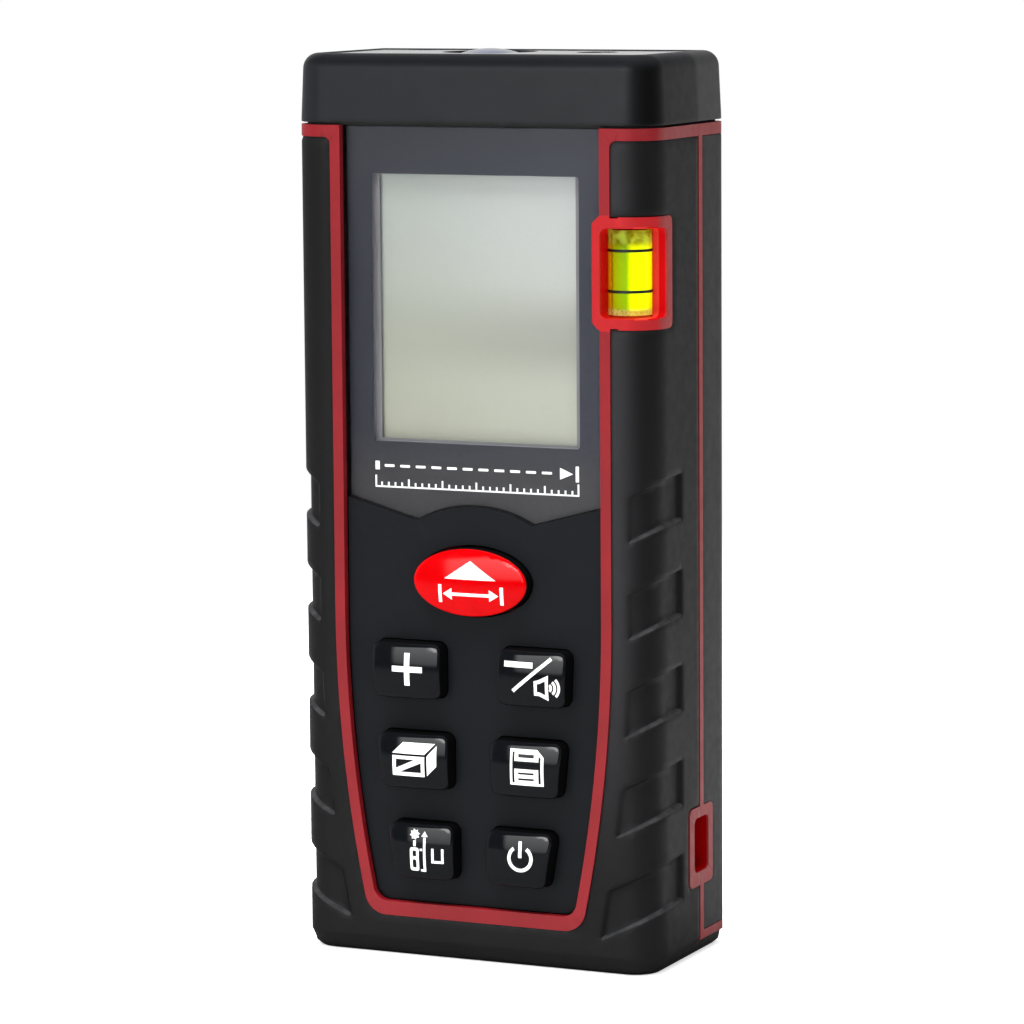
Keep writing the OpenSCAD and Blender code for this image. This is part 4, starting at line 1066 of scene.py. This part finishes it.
def build_head_cap():
    """The cap is one closed ring: outside, rounded rim, seat of the optic window and inside."""
    draft, rim_r, lip, wall, seat_w, seat_t = 0.3, 2.0, 0.15, 1.8, 2.5, 1.3
    plate_low, plate_high = node_box("optic_window")
    seat_inset = HALF_W - plate_high[0] - 0.15
    seat_z = plate_low[2] - 0.05
    profile = [(wall, CAP_Z), (0.5, CAP_Z), *arc((lip, CAP_Z + lip), lip, 270, 180, 3),
               (0.02, CAP_Z + 0.6), (draft * 0.5, CAP_Z + 3.5), (draft - 0.02, TOP_Z - rim_r - 0.4),
               *arc((draft + rim_r, TOP_Z - rim_r), rim_r, 180, 90, 10),
               (seat_inset - 0.12, TOP_Z), (seat_inset - 0.03, TOP_Z - 0.04),
                (seat_inset, TOP_Z - 0.12), (seat_inset, seat_z + 0.05), (seat_inset, seat_z),
                (seat_inset + seat_w, seat_z), (seat_inset + seat_w, seat_z - seat_t),
                (wall, seat_z - seat_t), (wall, seat_z - seat_t - 0.2), (wall, CAP_Z + 0.2)]
    verts, faces = looped([plan_ring(i, z) for i, z in profile])
    stand_in("head_cap_moulding", verts, faces, "cap_plastic", "head_cap", sharp=40)


# ---------- Keys ----------

KEY_H = 7.15
KEY_PITCH = 11.65
KEY_TOP = 41.1
KEY_MARGIN = 4.25
KEY_INNER = (3.95, 2.95, 2.3)
KEY_CORNER = 1.1
MEASURE_Z = 49.2
MEASURE_A, MEASURE_B = 7.9, 4.35
INK_SHIFT = (0.70, 0.19)
MEASURE_INK_SHIFT = (0.35, 0.09)
SMALL_KEYS = ["plus_key", "minus_key", "area_key", "memory_key", "reference_key", "clear_key"]


def key_outline(index, grow=0.0):
    """Outline in (x, z); index -1 is the measure key."""
    if index < 0:
        return ellipse_outline(0, MEASURE_Z, MEASURE_A + grow, MEASURE_B + grow)
    row, side = divmod(index, 2)
    top = KEY_TOP - KEY_PITCH * row
    low = top - KEY_H
    inner = KEY_INNER[row] - grow

    def outer(z):
        return float(taper_half(STRIP_HALF - STRIP_W, z)) - KEY_MARGIN + grow
    corners = np.array([(inner, low - grow), (outer(low), low - grow),
                        (outer(top), top + grow), (inner, top + grow)])
    shape = rounded(corners, KEY_CORNER + grow, 8)
    return shape if side == 1 else mirror(shape)


class KeyShape:
    """Height of a domed key over the panel."""

    def __init__(self, index):
        self.index = index
        self.outline = resampled(oriented(key_outline(index), True), 0.4)
        self.centre = (self.outline.min(0) + self.outline.max(0)) / 2
        self.half = (self.outline.max(0) - self.outline.min(0)) / 2
        self.rim, self.crown, self.edge = (1.5, 0.7, 0.3) if index < 0 else (1.9, 0.9, 0.35)

    def dome(self, points):
        """Crown without the rounded edge."""
        t = (points - self.centre) / self.half
        if self.index < 0:
            swell = 1 - t[:, 0] ** 2 - t[:, 1] ** 2
        else:
            swell = 1 - (t[:, 0] ** 2 + t[:, 1] ** 2) / 2
        return self.rim + self.crown * np.clip(swell, 0, 1)

    def height(self, points):
        """Full height over the panel at any point of the key's top."""
        return self.dome(points) - edge_drop(distance_to(points, [self.outline]), self.edge)


def build_key(name, index, slot):
    """One key: the domed cap and the flange that holds it behind the panel."""
    shape = KeyShape(index)
    sheet = Sheet(key_outline(index), edge=shape.edge, step=0.4, grid=0.45)
    depth = node_box(name)[1][1] - PANEL_Y
    flange_t, flange_w = 0.6, 0.8
    cap = solid_from_sheet(sheet, front_place(PANEL_Y), depth - flange_t, shape.dome)
    flange_sheet = Sheet(key_outline(index, flange_w), edge=0, step=0.8, grid=3.0)
    flange = solid_from_sheet(flange_sheet, front_place(PANEL_Y + depth - flange_t), flange_t)
    verts, faces = merged([cap, flange])
    stand_in(name.replace("_key", "_keycap"), verts, faces, slot, name, name, 40)
    return shape


def ink_on_key(name, key_name, shape, outlines):
    """White print that follows the key's dome; each entry is an outline and then its holes."""
    lift, depth = 0.012, 0.05
    shift = MEASURE_INK_SHIFT if shape.index < 0 else INK_SHIFT
    parts = []
    for outer, *holes in outlines:
        sheet = Sheet(outer + shift, [hole + shift for hole in holes], edge=0, step=0.35, grid=0.5)
        verts, faces = solid_from_sheet(sheet, front_place(PANEL_Y), 0, lambda p: shape.height(p) + lift)
        half = len(verts) // 2
        verts[half:] = verts[:half] + (0, depth, 0)
        parts.append((verts, faces))
    make_object(name, *merged(parts), WHITE_INK, key_name, 30)


def bar(a, b, width):
    """Outline of a straight bar between two points."""
    a, b = np.array(a, float), np.array(b, float)
    side = unit(b - a)[::-1] * (-1, 1) * width / 2
    return np.array([a - side, b - side, b + side, a + side])


def bent_bar(centre, outer_r, inner_r, start, end, steps):
    """Outline of a bar bent to an arc."""
    return np.concatenate([arc(centre, outer_r, start, end, steps),
                           arc(centre, inner_r, end, start, steps)])


def quad(*points):
    return np.array(points, float)


def block(x0, z0, x1, z1):
    """Outline of an upright rectangle."""
    return quad((x0, z0), (x1, z0), (x1, z1), (x0, z1))


def plus_symbol():
    arm, half = 2.1, 0.37
    quarter = quad((-half, -arm), (half, -arm), (half, -half))
    turn = np.array([(0, 1), (-1, 0)])
    turns = [quarter, quarter @ turn, quarter @ turn @ turn, quarter @ turn.T]
    return [[np.concatenate(turns) + (-9.05, 37.6)]]


def minus_sound_symbol():
    """A minus sign, a stroke and a loudspeaker with three waves."""
    cone_outer = quad((8.7, 35.35), (9.3, 35.35), (10.6, 34.75), (10.6, 38.0), (9.3, 37.35), (8.7, 37.2))
    cone_inner = quad((9.1, 35.8), (9.45, 35.8), (10.2, 35.45), (10.2, 37.3), (9.45, 36.9), (9.1, 36.85))
    mouth, thick = (10.45, 36.4), 0.33
    waves = [[bent_bar(mouth, radius + thick, radius, -spread, spread, 8)]
             for radius, spread in ((0.35, 50), (0.88, 47), (1.4, 44))]
    return [[block(4.5, 38.8, 8.5, 39.52)], [bar((5.7, 35.75), (10.95, 40.1), 0.45)],
            [cone_outer, cone_inner], *waves]


def box_symbol():
    """A box with its front face crossed by a diagonal."""
    lid = quad((-11.3, 26.68), (-6.75, 26.68), (-5.3, 28.15), (-9.75, 28.15))
    side = quad((-6.4, 23.95), (-5.1, 25.25), (-5.1, 27.9), (-6.4, 26.5))
    return [[lid], [side], [block(-11.25, 23.8, -6.72, 26.4),
                            quad((-10.75, 24.75), (-10.75, 25.95), (-8.1, 25.95)),
                            quad((-10.2, 24.3), (-7.2, 24.3), (-7.2, 25.6))]]


def memory_symbol():
    """A storage card with a shutter and two label lines."""
    body = quad((5.3, 23.75), (9.9, 23.75), (9.9, 27.45), (9.0, 28.38), (5.3, 28.38))
    gap = quad((5.62, 24.05), (5.93, 24.05), (5.93, 25.85), (9.22, 25.85), (9.22, 24.05),
               (9.52, 24.05), (9.52, 27.35), (9.22, 27.6), (9.22, 26.85), (5.93, 26.85),
               (5.93, 28.0), (5.62, 28.0))
    slits = [block(6.45, z, 8.6, z + height) for z, height in ((27.3, 0.45), (24.4, 0.26), (25.15, 0.26))]
    return [[body, gap, *slits]]


def reference_symbol():
    """The meter with its beam, an arrow from its rear edge, and an open bracket."""
    star = []
    for i in range(16):
        radius = 0.72 if i % 2 == 0 else 0.48
        angle = math.radians(22.5 * i + 11.25)
        star.append((-8.2 + radius * math.cos(angle), 16.3 + radius * math.sin(angle)))
    meter = box_outline(-8.85, -7.6, 11.55, 14.6, 0.3, 3)
    shaft = quad((-7.35, 11.5), (-6.65, 11.5), (-6.65, 15.95), (-6.98, 15.95), (-6.98, 11.8),
                 (-7.35, 11.8))
    bracket = quad((-5.85, 12.7), (-4.2, 12.7), (-4.2, 14.6), (-4.52, 14.6), (-4.52, 13.02),
                   (-5.53, 13.02), (-5.53, 14.6), (-5.85, 14.6))
    return [
        [np.array(star)], [block(-8.38, 14.75, -8.02, 15.5)],
        [meter, block(-8.48, 13.45, -7.95, 14.2), box_outline(-8.5, -7.95, 11.95, 13.05, 0.2, 3)],
        [shaft], [quad((-7.25, 16.05), (-6.38, 16.05), (-6.82, 16.75))],
        [block(-7.45, 14.2, -7.1, 14.5)], [bracket],
    ]


def power_symbol():
    """A broken ring with an upright bar."""
    radius, thick = 1.75, 0.45
    return [[bent_bar((6.6, 14.3), radius, radius - thick, 125, 415, 30)],
            [block(6.38, 14.4, 6.82, 16.5)]]


def measure_symbol():
    """A triangle that points along the beam, over a dimension line."""
    middle, barb, half_line, stop = 47.65, 0.75, 0.2, 1.15
    right = [(2.6, middle - half_line), (2.6, middle - barb), (3.85, middle), (2.6, middle + barb),
             (2.6, middle + half_line)]
    left = [(-x, z) for x, z in reversed(right)]
    ends = [[block(x, middle - stop, x + 0.45, middle + stop)] for x in (-4.5, 4.05)]
    return [[quad((-3.6, 49.6), (3.5, 49.6), (-0.05, 51.95))], *ends, [quad(*right, *left)]]


def build_keys():
    measure = build_key("measure_key", -1, "red_key")
    ink_on_key("measure_symbol", "measure_key", measure, measure_symbol())
    symbols = [plus_symbol, minus_sound_symbol, box_symbol, memory_symbol, reference_symbol,
               power_symbol]
    for index, (name, symbol) in enumerate(zip(SMALL_KEYS, symbols)):
        shape = build_key(name, index, "black_key")
        ink_on_key(name.replace("_key", "_symbol"), name, shape, symbol())


# ---------- Window print ----------

def build_window_print():
    """A ruler and a beam pictogram, printed behind the clear window."""
    back_y = node_box("display_window")[1][1]
    ruler_z, half, tick_w, base_w, ticks = 60.65, 14.24, 0.24, 0.21, 30
    parts = [block(-half, ruler_z - base_w / 2, half, ruler_z + base_w / 2)]
    for i in range(ticks + 1):
        x = 2 * half * i / ticks - half
        tall = 1.45 if i in (0, ticks) else (1.05 if i % 5 == 0 else 0.6)
        x0 = np.clip(x - tick_w / 2, -half, half - tick_w)
        parts.append(block(x0, ruler_z, x0 + tick_w, ruler_z + tall))
    beam_z, dashes, dash_pitch, dash_w, dash_half = 63.35, 11, 2.2, 1.4, 0.16
    parts.append(block(-14.2, beam_z - 0.55, -13.6, beam_z + 0.55))
    for i in range(dashes):
        x = dash_pitch * i - 12.9
        parts.append(box_outline(x, x + dash_w, beam_z - dash_half, beam_z + dash_half, 0.12, 3))
    parts.append(quad((11.6, beam_z - 0.75), (13.4, beam_z), (11.6, beam_z + 0.75)))
    parts.append(block(13.75, beam_z - 1.0, 14.2, beam_z + 1.0))
    solids = [solid_from_sheet(Sheet(p, edge=0, step=3, grid=50), front_place(back_y + 0.006), 0.008)
              for p in parts]
    make_object("window_print", *merged(solids), WHITE_INK, "housing", 30)


# ---------- Studio ----------

def area_light(name, place, size, power):
    """A square lamp aimed at the middle of the meter; reflections don't see it."""
    data = bpy.data.lights.new(name, "AREA")
    data.energy = power
    data.size = size
    lamp = linked(name, data)
    lamp.location = place
    aim = Vector((0, 0, 0.06)) - Vector(place)
    lamp.rotation_euler = aim.to_track_quat("-Z", "Y").to_euler()
    lamp.visible_glossy = False


def direction_lobe(s, direction, start, end, strength):
    """Brightness of the surroundings around one direction, as a node output."""
    return s.rise(s.dot(s.place, unit(np.array(direction, float))), start, end, strength)


def softbox(s, forward, side_half, up_half, strength, slope=0.0, shear=0.0):
    """A soft box far away whose sizes are tangents; slope brightens its top, shear slants it."""
    blur = 0.04
    forward = unit(np.array(forward, float))
    side = unit(np.cross(forward, Z))
    ahead, aside, above = (s.dot(s.place, axis) for axis in (forward, side, np.cross(side, forward)))
    across = s.maths("DIVIDE", aside, ahead)
    above = s.maths("DIVIDE", above, ahead)
    slanted = s.plus(above, s.times(across, shear))
    result = s.maths("GREATER_THAN", ahead, 0.05)
    for value, half in ((s.maths("ABSOLUTE", across), side_half),
                        (s.times(above, -1.0), up_half), (slanted, up_half)):
        result = s.times(result, s.rise(value, half + blur, half - blur))
    shade = s.plus(s.times(above, slope / up_half), 1.0)
    return s.times(s.times(result, shade), strength)


class WorldShader(Shader):
    """The same helper for the surroundings."""

    def __init__(self, world):
        world.use_nodes = True
        self.tree = world.node_tree
        self.surface = self.tree.nodes["Background"]
        self.place = self.node("ShaderNodeTexCoord").outputs["Generated"]


def build_world():
    """White to the camera; soft even light; and a few soft boxes that only reflections see."""
    world = bpy.data.worlds.new("studio")
    bpy.context.scene.world = world
    s = WorldShader(world)
    reflected = 0.03
    for part in (
        direction_lobe(s, (-0.95, -0.25, 0.1), 0.85, 0.98, 0.4),
        direction_lobe(s, (0.35, 0.85, -0.35), 0.6, 0.98, 0.65),
        direction_lobe(s, (-0.6, 0.8, 0.1), 0.6, 0.98, 0.6),
        direction_lobe(s, (0.25, 0.2, 1), 0.6, 0.95, 0.4),
        softbox(s, (-0.197, -0.969, 0.148), 0.394, 0.203, 2.7, 0.5, 0.28),
        softbox(s, (-0.07, -0.96, 0.28), 0.12, 0.08, 6.0),
    ):
        reflected = s.plus(part, reflected)
    paths = s.node("ShaderNodeLightPath")

    def switch(flag, off, on):
        """One value for the rays of a kind and another for the rest."""
        inputs = {0: paths.outputs[flag], 2: off, 3: on}
        return s.node("ShaderNodeMix", inputs, data_type="FLOAT").outputs[0]
    soft = switch("Is Glossy Ray", 0.62, reflected)
    s.set(Color=1.0, Strength=switch("Is Camera Ray", soft, 1.0))
    world.cycles.sampling_method = "NONE"


def build_floor():
    """A pale floor that fades out some way off and is dim in reflections."""
    bpy.ops.mesh.primitive_circle_add(vertices=96, radius=1.2, fill_type="NGON")
    floor = bpy.context.object
    floor.name = "studio_floor"
    whole, gone = 150, 420
    s = Shader("studio_floor")
    paths = s.node("ShaderNodeLightPath")
    pale = s.ramp(s.noise(3, 2), 0.87, 0.88)
    dim = s.mix(s.reach(s.along(Y), -10, 50), 0.12, 0.44)
    s.set(Base_Color=s.mix(paths.outputs["Is Glossy Ray"], pale, dim), Roughness=1.0,
          Specular_IOR_Level=0.0, Emission_Color=1.0,
          Emission_Strength=s.times(paths.outputs["Is Camera Ray"], 0.6))
    distance = s.node("ShaderNodeVectorMath", {0: s.place}, operation="LENGTH").outputs["Value"]
    floor.data.materials.append(s.see_through(s.reach(distance, gone, whole)))


def build_studio():
    build_world()
    build_floor()
    area_light("top_light", (-0.1, -0.15, 1.0), 0.8, 26)
    area_light("front_light", (-0.45, -0.95, 0.35), 0.6, 3)
    bpy.context.scene.view_settings.view_transform = "Standard"


def build_camera():
    """The camera stands to the right of the front, a little above, almost level."""
    azimuth, elevation, roll = (math.radians(a) for a in (24.66, 7.456, -0.434))
    distance, target = 588.7, Vector((0.027, 0, 56.65))
    back = Vector((math.sin(azimuth) * math.cos(elevation), -math.cos(azimuth) * math.cos(elevation),
                   math.sin(elevation)))
    right = Vector((math.cos(azimuth), math.sin(azimuth), 0))
    up = back.cross(right)
    x_axis = math.cos(roll) * right + math.sin(roll) * up
    y_axis = -math.sin(roll) * right + math.cos(roll) * up
    data = bpy.data.cameras.new("camera")
    data.lens = 160.7
    data.sensor_width = 36
    data.clip_start, data.clip_end = 0.01, 50
    camera = linked("camera", data)
    matrix = Matrix((x_axis, y_axis, back)).transposed().to_4x4()
    matrix.translation = (target + back * distance) * MM
    camera.matrix_world = matrix
    bpy.context.scene.camera = camera


# ---------- Build ----------

paint_cad_nodes()
for hard in ("front_shell", "rear_shell", "keypad_panel", "optic_window", "display_window",
             "battery_door", "lcd_holder"):
    soften(hard)
build_front_grip()
build_rear_grip()
build_head_cap()
build_keys()
build_window_print()
build_studio()
build_camera()
